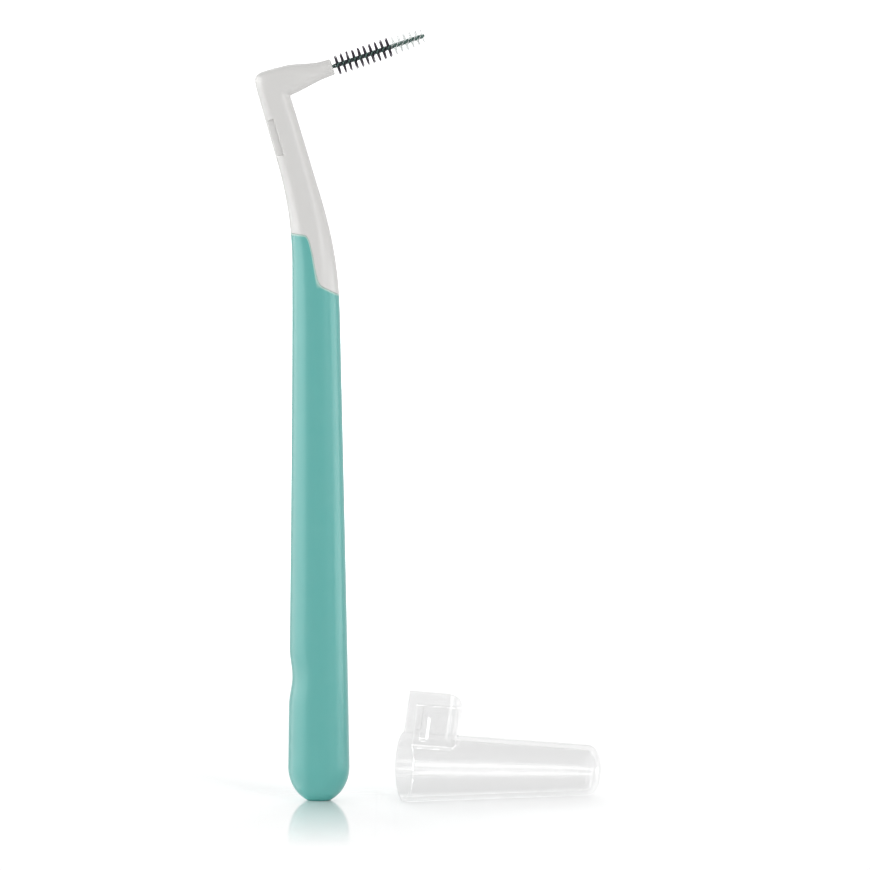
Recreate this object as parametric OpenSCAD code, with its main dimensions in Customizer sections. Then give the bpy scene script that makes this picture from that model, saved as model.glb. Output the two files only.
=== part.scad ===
// Angled interdental brush with its clear travel cap.
// The brush stands on the tail of its handle and the cap lies beside it.
// X runs to the right, Y away from the viewer and Z up, in millimetres.

/* [Handle] */
// Height of the middle of the seam between the grip and the neck
seam_height = 79.2; // [66:0.1:92]
// Width of the handle above its round tail, seen from the side
tail_w = 8.9; // [8:0.1:10]
// Height of the round tail, were it not cut flat to stand on
tail_len = 5.3; // [4:0.1:6]
// Thickness of the handle above its round tail
tail_t = 7.4; // [6.4:0.1:9]
// Width of the handle where the neck begins
top_w = 6.9; // [6.2:0.05:8]
// Thickness of the handle where the neck begins
top_t = 5.8; // [5.2:0.1:6.6]
// Width of the small flat that the handle stands on
foot_w = 3.2; // [2.6:0.1:4]
// How far the handle's centreline bows back at its top
bow = 0.34; // [0:0.01:1]
// Height of the middle of the shallow dent in the back
dent_height = 18.1; // [12:0.1:30]
// Length of the dent
dent_len = 8.6; // [4:0.1:10]
// Depth of the dent
dent_depth = 0.43; // [0.1:0.01:0.6]
// Thickness of the coloured grip over its core
grip_wall = 1.3; // [0.9:0.05:1.6]
// Distance from the tail's end to the end of the core
core_inset = 9; // [6:0.5:20]

/* [Seam] */
// Half the height of the seam's steep middle
seam_step = 3.45; // [2:0.05:4]
// Fall of the seam's shallow end at the back of the handle
seam_back_fall = 0.2; // [0:0.1:2]
// Fall of the seam's shallow end at the front
seam_front_fall = 1.8; // [0.6:0.1:2]
// How sharply the seam turns, as a share of half the width
seam_turn_share = 0.12; // [0.1:0.01:0.3]

/* [Neck and head] */
// Rise from the middle of the seam to the middle of the elbow
neck_rise = 24.7; // [22:0.1:30]
// Width of the neck at the elbow, measured level
neck_w = 4.6; // [4:0.1:5]
// Thickness of the neck
neck_t = 3.8; // [3.6:0.1:4.6]
// Lean of the neck from upright
neck_lean = 16.9; // [10:0.1:20]
// Angle between the neck's front and back
neck_taper = 2.1; // [0.5:0.1:2.5]
// Height above the seam at which the neck's front bends
front_bend_rise = 0.4; // [-2:0.1:3]
// Half the length of the front's bend
front_bend_len = 9; // [6:0.5:14]
// Height above the seam at which the neck's back bends
back_bend_rise = 6.3; // [5:0.1:10]
// Half the length of the back's bend
back_bend_len = 7.5; // [3:0.1:8]
// Rise of the arm above level
arm_rise = 18.8; // [12:0.1:24]
// Length of the arm from the middle of the elbow to its tip
arm_len = 9.3; // [8.4:0.1:12]
// Diameter of the arm's round tip
arm_tip_d = 2.4; // [1.8:0.05:2.8]
// Height of the arm above its axis at the elbow
arm_crown = 2.4; // [2.1:0.05:2.9]
// Depth of the arm below its axis at the elbow
arm_belly = 1.95; // [1.9:0.05:2.5]
// Radius inside the elbow
inner_round = 0.3; // [0.2:0.05:0.6]

/* [Snap recess] */
// Distance along the neck from the arm's axis to the recess
snap_start = 5; // [4.6:0.1:6]
// Length of the recess along the neck
snap_len = 5.4; // [4.4:0.1:7]
// Width of the recess, in from the back of the neck
snap_w = 1.3; // [0.9:0.05:1.6]
// Depth of the recess below the neck's side
snap_depth = 0.5; // [0.25:0.05:0.6]

/* [Wire] */
// Diameter of one coated strand of the twisted wire
strand_d = 0.3; // [0.2:0.02:0.4]
// Length of one full turn of the twist
twist_pitch = 1.73; // [1.5:0.01:2.4]
// Length of wire held inside the arm
wire_hold = 7; // [4:0.1:8]
// Bare wire between the arm and the first bristle
bare_len = 0.5; // [0.3:0.05:1.5]

/* [Bristles] */
// Length of the dark bristles along the wire
dark_len = 8.4; // [6:0.1:10]
// Length of the clear bristles along the wire
clear_len = 4.9; // [3:0.1:6]
// Diameter of the brush
bristle_d = 3.1; // [2.2:0.1:3.6]
// Diameter of the brush at its very tip
bristle_tip_d = 2.4; // [1.8:0.1:3]
// Thickness of one filament
filament_t = 0.06; // [0.04:0.01:0.08]

/* [Cap] */
// Diameter of the cap at its mouth
mouth_d = 10.35; // [10.1:0.05:12]
// Diameter of the cap at its closed end
end_d = 7.3; // [6.6:0.1:9]
// Thickness of the cap's wall
cap_wall = 0.75; // [0.5:0.05:0.9]
// Free space in the cap past the tip of the wire
cap_spare = 1.7; // [1:0.1:8]
// Radius of the cap's round end
cap_round = 1.5; // [1:0.1:2]

/* [Hood] */
// Thickness of the hood's wall
hood_wall = 0.55; // [0.4:0.05:0.8]
// Play between the neck and the hood on each side
hood_play = 0.15; // [0.1:0.05:0.3]
// How far the neck's back sits inside the mouth of the cap
hood_inset = 1.1; // [0.8:0.1:2]
// Free space between the neck's front and the hood
hood_spare = 0.6; // [0.3:0.1:2]
// How far the hood reaches past the recess in the neck
hood_lip = 0.6; // [0.2:0.1:2]
// Outer radius of the hood's corners
hood_round = 1.7; // [1:0.1:2.2]
// Fall of the hood's end from its back to its front
hood_slant = 3.7; // [0:0.1:6]
// Length of the ridge that snaps into the recess
ridge_len = 3.8; // [2.5:0.1:4.2]

/* [Lying cap] */
// Distance from the handle's axis to the middle of the cap's mouth
cap_x = 12.4; // [11.6:0.1:40]
// How far the mouth lies behind the handle's axis, less than nothing being in front
cap_y = -2.2; // [-6:0.1:6]
// Turn of the cap on the table
cap_yaw = 15; // [0:1:30]
// Lean of the hood towards the viewer
cap_roll = 17; // [0:1:30]

/* [Hidden] */

// Tessellation of the moulded bodies, the wire and the arcs
ring_sides = 44;
tail_rings = 7;
straight_rings = 6;
dent_rings = 8;
seam_rings = 6;
neck_rings = 8;
elbow_rings = 14;
arm_rings = 10;
core_rings = 3;
strand_sides = 6;
rings_per_turn = 11;
fold_rings = 6;
filaments_per_turn = 20;
arc_steps = 6;
round_fn = 48;

// How far the rings' points crowd towards the sides, where the seam is steep, in degrees
side_crowding = 13;

// Roundness of the sections: 2 is an ellipse and more is squarer
handle_exponent = 2.4;
neck_exponent = 3.2;
arm_tip_exponent = 2;
elbow_exponent = 6.5;

// Clearances, small gaps and one overrun for every cut
strand_gap = 0.012;
bore_gap = 0.04;
ridge_gap = 0.1;
overrun = 0.5;

// How soon the arm's crown, belly and sides draw in towards its tip, and how straight they run
crown_ease_share = 1.2;
crown_line_share = 0.25;
belly_ease_share = 1.25;
belly_line_share = 0.4;
side_ease_share = 1.1;
round_ease_share = 1.4;

// Handle
foot_angle = asin(foot_w / tail_w);
tail_top = tail_len * cos(foot_angle);
seam_low = seam_height - seam_step - 2 * seam_front_fall;
seam_high = seam_height + seam_step + seam_front_fall;
dent_start = dent_height - dent_len / 2;
dent_end = dent_height + dent_len / 2;

// Edges of the neck in the side view
front_bend = seam_height + front_bend_rise;
back_bend = seam_height + back_bend_rise;
front_slope = tan(neck_lean + neck_taper / 2);
back_slope = tan(neck_lean - neck_taper / 2);

// Elbow, in the side view: the arm's axis starts at its middle. The crown line of the elbow
// falls by this angle from the arm's axis.
crown_angle = -4.5;
elbow_z = seam_height + neck_rise;
leaning_w = top_w - front_slope * (elbow_z - front_bend) + back_slope * (elbow_z - back_bend);
neck_fit = neck_w - leaning_w;
elbow_mid = [(back_x(elbow_z) + front_x(elbow_z)) / 2, elbow_z];
arm_dir = [cos(arm_rise), sin(arm_rise)];
arm_up = [-sin(arm_rise), cos(arm_rise)];
elbow_half_w = (front_x(elbow_z) - back_x(elbow_z)) / 2;
pivot_drop = arm_belly + inner_round;
pivot_run = (elbow_half_w + inner_round + pivot_drop * (front_slope * arm_dir.x - arm_dir.y))
            / (arm_dir.x + front_slope * arm_dir.y);
pivot = elbow_mid + pivot_run * arm_dir - pivot_drop * arm_up;

// Wire and bristles, along the arm's axis from the middle of the elbow. The strands start at
// the first angle round that axis, and the filaments' lengths vary by the trim share.
strand_r = strand_d / 2;
strand_offset = filament_t / 2 + strand_r + strand_gap;
first_angle = 1;
bore_r = strand_offset + strand_r + bore_gap;
wire_start = arm_len - wire_hold;
dark_start = arm_len + bare_len;
clear_start = dark_start + dark_len;
wire_end = clear_start + clear_len + strand_d / 2;
filament_pitch = twist_pitch / filaments_per_turn;
filament_w_share = 0.6;
mat_w_share = 1.1;
mat_half_w = mat_w_share * strand_r;
trim_share = 0.04;
trim_step = 157;

// Cap, from its mouth along its axis
reach = hood_inset + elbow_half_w + wire_end;
cap_len = reach + cap_spare + cap_wall;
hood_reach = snap_start + snap_len + hood_lip;
hood_inner_w = neck_t + 2 * hood_play;
hood_inner_len = hood_inset + neck_w + hood_reach * tan(neck_taper) + hood_spare;
ridge_w = snap_w - ridge_gap;
ridge_half_gap = neck_t / 2 - snap_depth + ridge_gap;
mouth_chamfer = cap_wall / 4;

// Side-view edges of the handle and neck, as a function of the height

function mix(a, b, t) = a + (b - a) * t;
function clamp01(t) = min(1, max(0, t));
function smooth(t) = let (c = clamp01(t)) c * c * (3 - 2 * c);
function soft_ramp(d, r) = d < -r ? 0 : d > r ? d : (d + r) * (d + r) / (4 * r);
function tanh(v) = 1 - 2 / (exp(2 * v) + 1);
function bump(q) = abs(q) < 1 ? (1 + cos(180 * q)) / 2 : 0;

function tail_share(z) = z >= tail_top ? 1 : sqrt(max(0, 1 - pow((tail_top - z) / tail_len, 2)));
function handle_mix(z) = clamp01((z - tail_top) / (seam_low - tail_top));
function handle_half_w(z) = mix(tail_w, top_w, handle_mix(z)) / 2 * tail_share(z);
function handle_mid_x(z) = -bow * pow(clamp01(z / seam_low), 2);
function dent(z) = dent_depth * bump((z - dent_height) / (dent_len / 2));

function back_x(z) = handle_mid_x(z) - handle_half_w(z) + dent(z)
                     - back_slope * soft_ramp(z - back_bend, back_bend_len);
function front_x(z) = handle_mid_x(z) + handle_half_w(z)
                      - front_slope * soft_ramp(z - front_bend, front_bend_len)
                      + neck_fit * smooth((z - seam_high) / (elbow_z - seam_high));
function half_t(z) = let (handle = mix(tail_t, top_t, handle_mix(z)) / 2 * tail_share(z))
    mix(handle, neck_t / 2, smooth((z - seam_low) / (2 * (seam_high - seam_low))));
function level_exponent(z) = mix(handle_exponent, neck_exponent, smooth((z - seam_low) / neck_rise));

// Sections, each [back point, front point, half thickness, exponent] in the side view

function level_section(z) = [[back_x(z), z], [front_x(z), z], half_t(z), level_exponent(z)];

// The elbow's sections turn about the centre of its inner round. Their outer ends follow the
// neck's back line and the arm's crown line, rounded off where the two lines meet.
function elbow_reach(a) =
    let (to_back = max(0, -cos(a) - back_slope * sin(a)) / (pivot.x - back_x(pivot.y)),
         crown_distance = (pivot_drop + arm_crown) * cos(crown_angle),
         to_crown = cos(a - 90 - arm_rise - crown_angle) / crown_distance)
    pow(pow(to_back, elbow_exponent) + pow(to_crown, elbow_exponent), -1 / elbow_exponent);
function elbow_section(a) = let (d = [cos(a), sin(a)])
    [pivot + elbow_reach(a) * d, pivot + inner_round * d, neck_t / 2, neck_exponent];

// The arm narrows from the elbow to its round tip
function arm_section(u) =
    let (run = arm_len - pivot_run, t = (u - pivot_run) / run,
         up = mix(arm_crown, arm_tip_d / 2, mix(smooth(crown_ease_share * t), t, crown_line_share)),
         down = mix(arm_belly, arm_tip_d / 2, mix(smooth(belly_ease_share * t), t, belly_line_share)),
         on_axis = elbow_mid + u * arm_dir)
    [on_axis + up * arm_up, on_axis - down * arm_up,
     mix(neck_t, arm_tip_d, smooth(side_ease_share * t)) / 2,
     mix(neck_exponent, arm_tip_exponent, smooth(round_ease_share * t))];

// Rings of points

function ring_angle(j) = let (a = 360 * j / ring_sides) a + side_crowding * sin(2 * a);
function squarish(c, e) = sign(c) * pow(abs(c), 2 / e);
function across(j, e) = squarish(cos(ring_angle(j)), e);
function aside(j, e) = squarish(sin(ring_angle(j)), e);
function ring_point(s, j) = let (mid = (s[0] + s[1]) / 2, arm = (s[1] - s[0]) / 2, e = s[3])
    [mid.x + arm.x * across(j, e), s[2] * aside(j, e), mid.y + arm.y * across(j, e)];
function ring(s) = [for (j = [0 : ring_sides - 1]) ring_point(s, j)];

// Height of the seam, from -1 at the back of the section to 1 at its front
function seam_z(q) = seam_height - seam_step * tanh(q / seam_turn_share)
                     - q * (q < 0 ? seam_back_fall : seam_front_fall);
function seam_share(j) = across(j, handle_exponent);
function inset(s, wall) = let (along = (s[1] - s[0]) / norm(s[1] - s[0]))
    [s[0] + wall * along, s[1] - wall * along, s[2] - wall, s[3]];

// A ring whose points climb from the height z to the seam, or from the seam to z, by the share t
function seam_ring(z, t, wall) = [for (j = [0 : ring_sides - 1])
    ring_point(inset(level_section(mix(z, seam_z(seam_share(j)), t)), wall), j)];

// A closed skin over a list of rings of equal length. The two triangles of each four-sided face
// meet along its other diagonal where crossed is true, so that the grip fits its core exactly.

module skin(rings, crossed = false) {
    sides = len(rings[0]);
    last = len(rings) - 1;
    points = [for (r = rings) each r];
    walls = [for (i = [0 : last - 1], j = [0 : sides - 1])
        let (k = (j + 1) % sides, a = i * sides)
        each crossed
            ? [[a + j, a + sides + j, a + sides + k], [a + j, a + sides + k, a + k]]
            : [[a + j, a + sides + j, a + k], [a + k, a + sides + j, a + sides + k]]];
    base = [for (j = [1 : sides - 2]) [0, j, j + 1]];
    lid = [for (j = [1 : sides - 2]) [last * sides, last * sides + j + 1, last * sides + j]];
    polyhedron(points = points, faces = concat(base, walls, lid));
}

// Heights of the handle's level rings

tail_heights = [for (i = [0 : tail_rings]) let (a = mix(foot_angle, 90, i / tail_rings))
    tail_len * (cos(foot_angle) - cos(a))];
dent_heights = [for (i = [0 : dent_rings]) mix(dent_start, dent_end, i / dent_rings)];
straight_heights = [for (i = [1 : straight_rings]) mix(dent_end, seam_low, i / straight_rings)];

// The coloured grip, moulded over the core

module grip() {
    outside = [for (z = concat(tail_heights, dent_heights, straight_heights)) ring(level_section(z))];
    to_seam = [for (i = [1 : seam_rings]) seam_ring(seam_low, i / seam_rings, 0)];
    inside = [for (i = [core_rings : -1 : 0]) seam_ring(core_inset, i / core_rings, grip_wall)];
    color("mediumaquamarine") skin(concat(outside, to_seam, inside), crossed = true);
}

// The white moulding: core inside the grip, neck, elbow and arm

module moulding() {
    core = [for (i = [0 : core_rings]) seam_ring(core_inset, i / core_rings, grip_wall)];
    from_seam = [for (i = [seam_rings : -1 : 1]) seam_ring(seam_high, i / seam_rings, 0)];
    neck = [for (i = [0 : neck_rings - 1])
        ring(level_section(mix(seam_high, pivot.y, i / neck_rings)))];
    elbow = [for (i = [0 : elbow_rings - 1])
        ring(elbow_section(mix(180, 90 + arm_rise, i / elbow_rings)))];
    arm = [for (i = [0 : arm_rings]) ring(arm_section(mix(pivot_run, arm_len, i / arm_rings)))];
    skin(concat(core, from_seam, neck, elbow, arm));
}

// Places its children with +X along the arm's axis, from the middle of the elbow
module along_arm() {
    translate([elbow_mid.x, 0, elbow_mid.y]) rotate([0, -arm_rise, 0]) children();
}

// The bore that the wire is held in
module wire_bore() {
    along_arm() translate([wire_start - bore_r, 0, 0]) rotate([0, 90, 0])
        cylinder(r = bore_r, h = bore_r + wire_hold + overrun, $fn = round_fn);
}

// A recess on each side of the neck, open at its back, where the hood snaps in
module snap_recesses() {
    back = elbow_mid.x - elbow_half_w;
    along = atan(back_slope);
    for (side = [-1, 1])
        translate([back, 0, elbow_z]) rotate([0, -along, 0])
            translate([-overrun, side * (neck_t - snap_depth), -(snap_start + snap_len / 2)])
                cube([2 * (snap_w + overrun), neck_t, snap_len], center = true);
}

module neck_and_core() {
    color("white") difference() {
        moulding();
        wire_bore();
        snap_recesses();
    }
}

// The wire is one strand, folded like a hairpin and twisted. Its legs lie side by side
// in the arm and wind up to the full left-hand twist over the first turn.

function twist_at(x) = let (u = x - wire_start, lead = twist_pitch)
    first_angle - 360 / twist_pitch * (u < lead ? u * u / (2 * lead) : u - lead / 2);
function climb_at(x) = -2 * PI * strand_offset / twist_pitch * clamp01((x - wire_start) / twist_pitch);
function outward(x, leg) = let (a = twist_at(x)) leg * [0, cos(a), sin(a)];
function sideward(x) = let (a = twist_at(x)) [0, -sin(a), cos(a)];

// One ring round the centre of the strand, in the directions out and side
function strand_ring(centre, out, side) = [for (j = [0 : strand_sides - 1])
    let (b = 360 * j / strand_sides) centre + strand_r * (cos(b) * out - sin(b) * side)];
function leg_ring(x, leg) =
    let (out = outward(x, leg), climb = leg * climb_at(x),
         side = (sideward(x) - [climb, 0, 0]) / norm([climb, 1]))
    strand_ring([x, 0, 0] + strand_offset * out, out, side);
function fold_ring(a) =
    let (out = cos(a) * outward(wire_start, 1) - [sin(a), 0, 0])
    strand_ring([wire_start, 0, 0] + strand_offset * out, out, sideward(wire_start));

module wire() {
    rings = ceil((wire_end - wire_start) / twist_pitch * rings_per_turn);
    up = [for (i = [rings : -1 : 0]) leg_ring(mix(wire_start, wire_end, i / rings), 1)];
    fold = [for (i = [1 : fold_rings - 1]) fold_ring(180 * i / fold_rings)];
    down = [for (i = [0 : rings]) leg_ring(mix(wire_start, wire_end, i / rings), -1)];
    color("darkslategray") along_arm() skin(concat(up, fold, down));
}

// Filaments that fan out from a thin twisted mat, which the two strands pinch

function trimmed_r(x) = mix(bristle_d, bristle_tip_d, pow(clamp01((x - clear_start) / clear_len), 2)) / 2;
function mat_corner(x, c) = let (a = twist_at(x) + 90, u = c[0] * mat_half_w, v = c[1] * filament_t / 2)
    [x, u * cos(a) - v * sin(a), u * sin(a) + v * cos(a)];
module bristles(start, length) {
    count = floor(length / filament_pitch);
    half_w = filament_w_share * filament_pitch / 2;
    corners = [[1, 1], [1, -1], [-1, -1], [-1, 1]];
    mids = [for (k = [0 : count - 1]) start + (k + 1 / 2) * filament_pitch];
    mat = [for (m = mids, end = [-1, 1], c = corners) mat_corner(m + end * half_w, c)];
    tips = [for (k = [0 : count - 1], side = [1, -1], end = [-1, 1], v = [1, -1])
        let (m = mids[k], a = twist_at(m) + 90, w = v * filament_t / 2,
             r = trimmed_r(m) * (1 - trim_share * (1 + side * cos(trim_step * k)) / 2))
        [m + end * half_w, side * (r * cos(a) - w * sin(a)), side * (r * sin(a) + w * cos(a))]];
    mat_points = 8 * count;
    flats = [for (i = [0 : 2 * count - 2]) let (a = 4 * i, b = a + 4)
        each [[a, b, b + 3], [a, b + 3, a + 3], [a + 1, a + 2, b + 2], [a + 1, b + 2, b + 1]]];
    edges = [for (k = [0 : count - 2]) let (a = 8 * k + 4, b = a + 4)
        each [[a, a + 1, b + 1], [a, b + 1, b], [a + 2, a + 3, b + 3], [a + 2, b + 3, b + 2]]];
    strands = [for (k = [0 : count - 1], s = [0, 1])
        let (m = 8 * k + 2 * s, t = mat_points + 8 * k + 4 * s,
             foot = [m, m + 1, m + 5, m + 4], tip = [t, t + 1, t + 3, t + 2])
        each concat([for (i = [0 : 3]) let (j = (i + 1) % 4)
                        each [[foot[i], foot[j], tip[j]], [foot[i], tip[j], tip[i]]]],
                    [[tip[0], tip[1], tip[2]], [tip[0], tip[2], tip[3]]])];
    last = 8 * count - 4;
    ends = [[0, 2, 1], [0, 3, 2], [last, last + 1, last + 2], [last, last + 2, last + 3]];
    along_arm() polyhedron(points = concat(mat, tips), faces = concat(flats, edges, strands, ends));
}
module dark_bristles() { color("midnightblue") bristles(dark_start, dark_len); }
module clear_bristles() { color("whitesmoke") bristles(clear_start, clear_len); }

// The cap, drawn with its mouth at the origin, its axis along +Z and its hood towards -X

cap_half_angle = atan((mouth_d - end_d) / 2 / cap_len);

// Half of a tapered tube with one round end, in the plane of rotate_extrude
module tapered_outline(r_mouth, length, round_r) {
    slope = tan(cap_half_angle);
    mid = [r_mouth - (length - round_r) * slope - round_r / cos(cap_half_angle), length - round_r];
    arc = [for (i = [0 : arc_steps]) let (a = mix(cap_half_angle, 90, i / arc_steps))
        mid + round_r * [cos(a), sin(a)]];
    polygon(concat([[0, 0], [r_mouth, 0]], arc, [[0, length]]));
}

// A rectangle from the origin to size, with its far corners on the first axis rounded
module round_ended(size, r) {
    arcs = [for (side = [-1, 1], i = [0 : arc_steps])
        let (a = side < 0 ? mix(-90, 0, i / arc_steps) : mix(0, 90, i / arc_steps))
        [size.x - r + r * cos(a), side * (size.y / 2 - r) + r * sin(a)]];
    polygon(concat([[0, -size.y / 2]], arcs, [[0, size.y / 2]]));
}

module cap_tube() {
    rotate_extrude($fn = round_fn) tapered_outline(mouth_d / 2, cap_len, cap_round);
}
module cap_cavity() {
    inner_r = mouth_d / 2 - cap_wall;
    rotate_extrude($fn = round_fn) tapered_outline(inner_r, cap_len - cap_wall, cap_round - cap_wall / 2);
    translate([0, 0, -overrun])
        cylinder(r1 = inner_r + mouth_chamfer + overrun, r2 = inner_r, h = mouth_chamfer + overrun,
                 $fn = round_fn);
}

// The hood: a channel that takes the neck, open at the mouth and at its end. Its sections
// lie in the plane of the mouth, and its end falls a little towards its front.
module hood_end(length, width, reach_in) {
    fall = length * tan(hood_slant);
    rotate([90, 0, 0]) linear_extrude(width, center = true)
        polygon([[0, 0], [-reach_in, 0], [-reach_in + fall, length], [0, length]]);
}
module hood_shell() {
    length = hood_inner_len + hood_wall;
    width = hood_inner_w + 2 * hood_wall;
    intersection() {
        rotate([0, -90, 0]) linear_extrude(hood_reach) round_ended([length, width], hood_round);
        hood_end(length, width + 2 * overrun, hood_reach);
    }
}
module hood_channel() {
    rotate([0, -90, 0]) linear_extrude(hood_reach + overrun) translate([-overrun, 0])
        round_ended([hood_inner_len + overrun, hood_inner_w], hood_round - hood_wall);
}

// A ridge inside each wall of the hood, which snaps into the neck's recess
module hood_ridges() {
    start = snap_start + ridge_gap;
    depth = hood_inner_w / 2 - ridge_half_gap + hood_wall / 2;
    for (side = [-1, 1])
        translate([-start - ridge_len / 2, side * (ridge_half_gap + depth / 2), hood_inset + ridge_w / 2])
            cube([ridge_len, depth, ridge_w], center = true);
}

module cap_as_worn() {
    difference() {
        union() {
            cap_tube();
            hood_shell();
        }
        cap_cavity();
        hood_channel();
    }
    hood_ridges();
}

// Lays the cap on the table, on one side of its cone
module cap() {
    color("azure", 0.5) translate([cap_x, cap_y, mouth_d / 2 * cos(cap_half_angle)])
        rotate([0, 0, cap_yaw]) rotate([0, 90 + cap_half_angle, 0]) rotate([0, 0, cap_roll]) cap_as_worn();
}

grip();
neck_and_core();
wire();
dark_bristles();
clear_bristles();
cap();
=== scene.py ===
"""Angled interdental brush, standing on its tail, with its clear travel cap beside it.

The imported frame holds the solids. This script stands a finer surface in the place of each one,
worked out from the same side view of the brush, gives every surface its finish, and adds a pale
stage, soft lamps and a long lens. Lengths are in metres and angles in radians.
"""

import logging
import math
from dataclasses import dataclass, field
from enum import Enum
from itertools import product
from typing import Callable

import bpy
import numpy as np
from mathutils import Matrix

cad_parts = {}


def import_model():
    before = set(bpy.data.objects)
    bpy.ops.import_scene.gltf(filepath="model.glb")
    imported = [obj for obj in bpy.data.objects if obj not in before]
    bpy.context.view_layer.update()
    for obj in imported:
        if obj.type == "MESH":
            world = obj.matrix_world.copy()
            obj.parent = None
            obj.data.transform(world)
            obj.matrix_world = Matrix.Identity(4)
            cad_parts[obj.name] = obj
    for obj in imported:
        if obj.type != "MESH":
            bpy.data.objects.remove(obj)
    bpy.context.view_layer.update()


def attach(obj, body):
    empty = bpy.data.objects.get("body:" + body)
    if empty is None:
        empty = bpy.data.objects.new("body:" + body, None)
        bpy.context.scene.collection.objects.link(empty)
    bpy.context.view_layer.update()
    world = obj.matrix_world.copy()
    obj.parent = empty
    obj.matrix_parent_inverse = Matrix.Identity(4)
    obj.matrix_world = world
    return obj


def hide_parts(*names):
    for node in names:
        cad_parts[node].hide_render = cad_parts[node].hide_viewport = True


Numbers = float | np.ndarray
Colour = tuple[float, float, float, float]
Socket = bpy.types.NodeSocket

LOG = logging.getLogger("interdental_brush")
SEED = 20
WHITE = (1.0, 1.0, 1.0, 1.0)
ALONG_X = np.array([1.0, 0.0, 0.0])


# Shares, ramps, turns and rounds

def mix(a: Numbers, b: Numbers, share: Numbers) -> Numbers:
    """The value that lies the given share of the way from a to b."""
    return a + (b - a) * share


def clamp(value: Numbers) -> Numbers:
    """The value, kept between 0 and 1."""
    return np.clip(value, 0.0, 1.0)


def smooth(value: Numbers) -> Numbers:
    """The cubic 3v^2 - 2v^3 of the value, kept between 0 and 1."""
    v = clamp(value)
    return v * v * (3.0 - 2.0 * v)


def soft_ramp(distance: Numbers, half: float) -> Numbers:
    """Zero before -half, the distance itself past +half, and a parabola between the two."""
    curve = (distance + half) ** 2 / (4.0 * half)
    return np.where(distance < -half, 0.0, np.where(distance > half, distance, curve))


def bump(place: Numbers) -> Numbers:
    """One raised cosine, 1 at the middle and 0 from -1 and +1 outwards."""
    return np.where(np.abs(place) < 1.0, (1.0 + np.cos(np.pi * place)) / 2.0, 0.0)


def circle(count: int) -> np.ndarray:
    """Angles evenly round a full circle, from 0."""
    return np.linspace(0.0, 2.0 * np.pi, count, endpoint=False)


def spoke(a: Numbers) -> np.ndarray:
    """The direction (0, cos a, sin a), away from the X axis."""
    return np.stack([np.zeros_like(a), np.cos(a), np.sin(a)], axis=-1)


def rimward(a: Numbers) -> np.ndarray:
    """The direction (0, -sin a, cos a), round the X axis."""
    return np.stack([np.zeros_like(a), -np.sin(a), np.cos(a)], axis=-1)


def turned(a: Numbers, b: Numbers, angle: float) -> tuple[Numbers, Numbers]:
    """Two coordinates turned by the angle, as (a cos - b sin, a sin + b cos)."""
    return a * math.cos(angle) - b * math.sin(angle), a * math.sin(angle) + b * math.cos(angle)


def rounded_both(a: np.ndarray, b: np.ndarray, radius: float) -> np.ndarray:
    """The signed distance to what two solids share, its edge rounded by the radius.

    Args:
        a: Signed distance to the first solid, negative inside.
        b: Signed distance to the second solid.
        radius: Radius of the rounded edge.

    Returns:
        max(a, b), but with a quarter circle of the radius where both are near zero.
    """
    a, b = a + radius, b + radius
    outside = np.hypot(np.maximum(a, 0.0), np.maximum(b, 0.0))
    return np.minimum(np.maximum(a, b), 0.0) + outside - radius


def rounded_either(a: np.ndarray, b: np.ndarray, radius: float) -> np.ndarray:
    """The signed distance to two joined solids, with a hollow round of the radius between them."""
    return -rounded_both(-a, -b, radius)


# Meshes

def linked(name: str, data: bpy.types.ID) -> bpy.types.Object:
    """A new object that holds the data, linked to the scene.

    Args:
        name: Name of the object.
        data: The mesh, lamp or camera that it holds.

    Returns:
        The object.
    """
    made = bpy.data.objects.new(name, data)
    bpy.context.scene.collection.objects.link(made)
    return made


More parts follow.
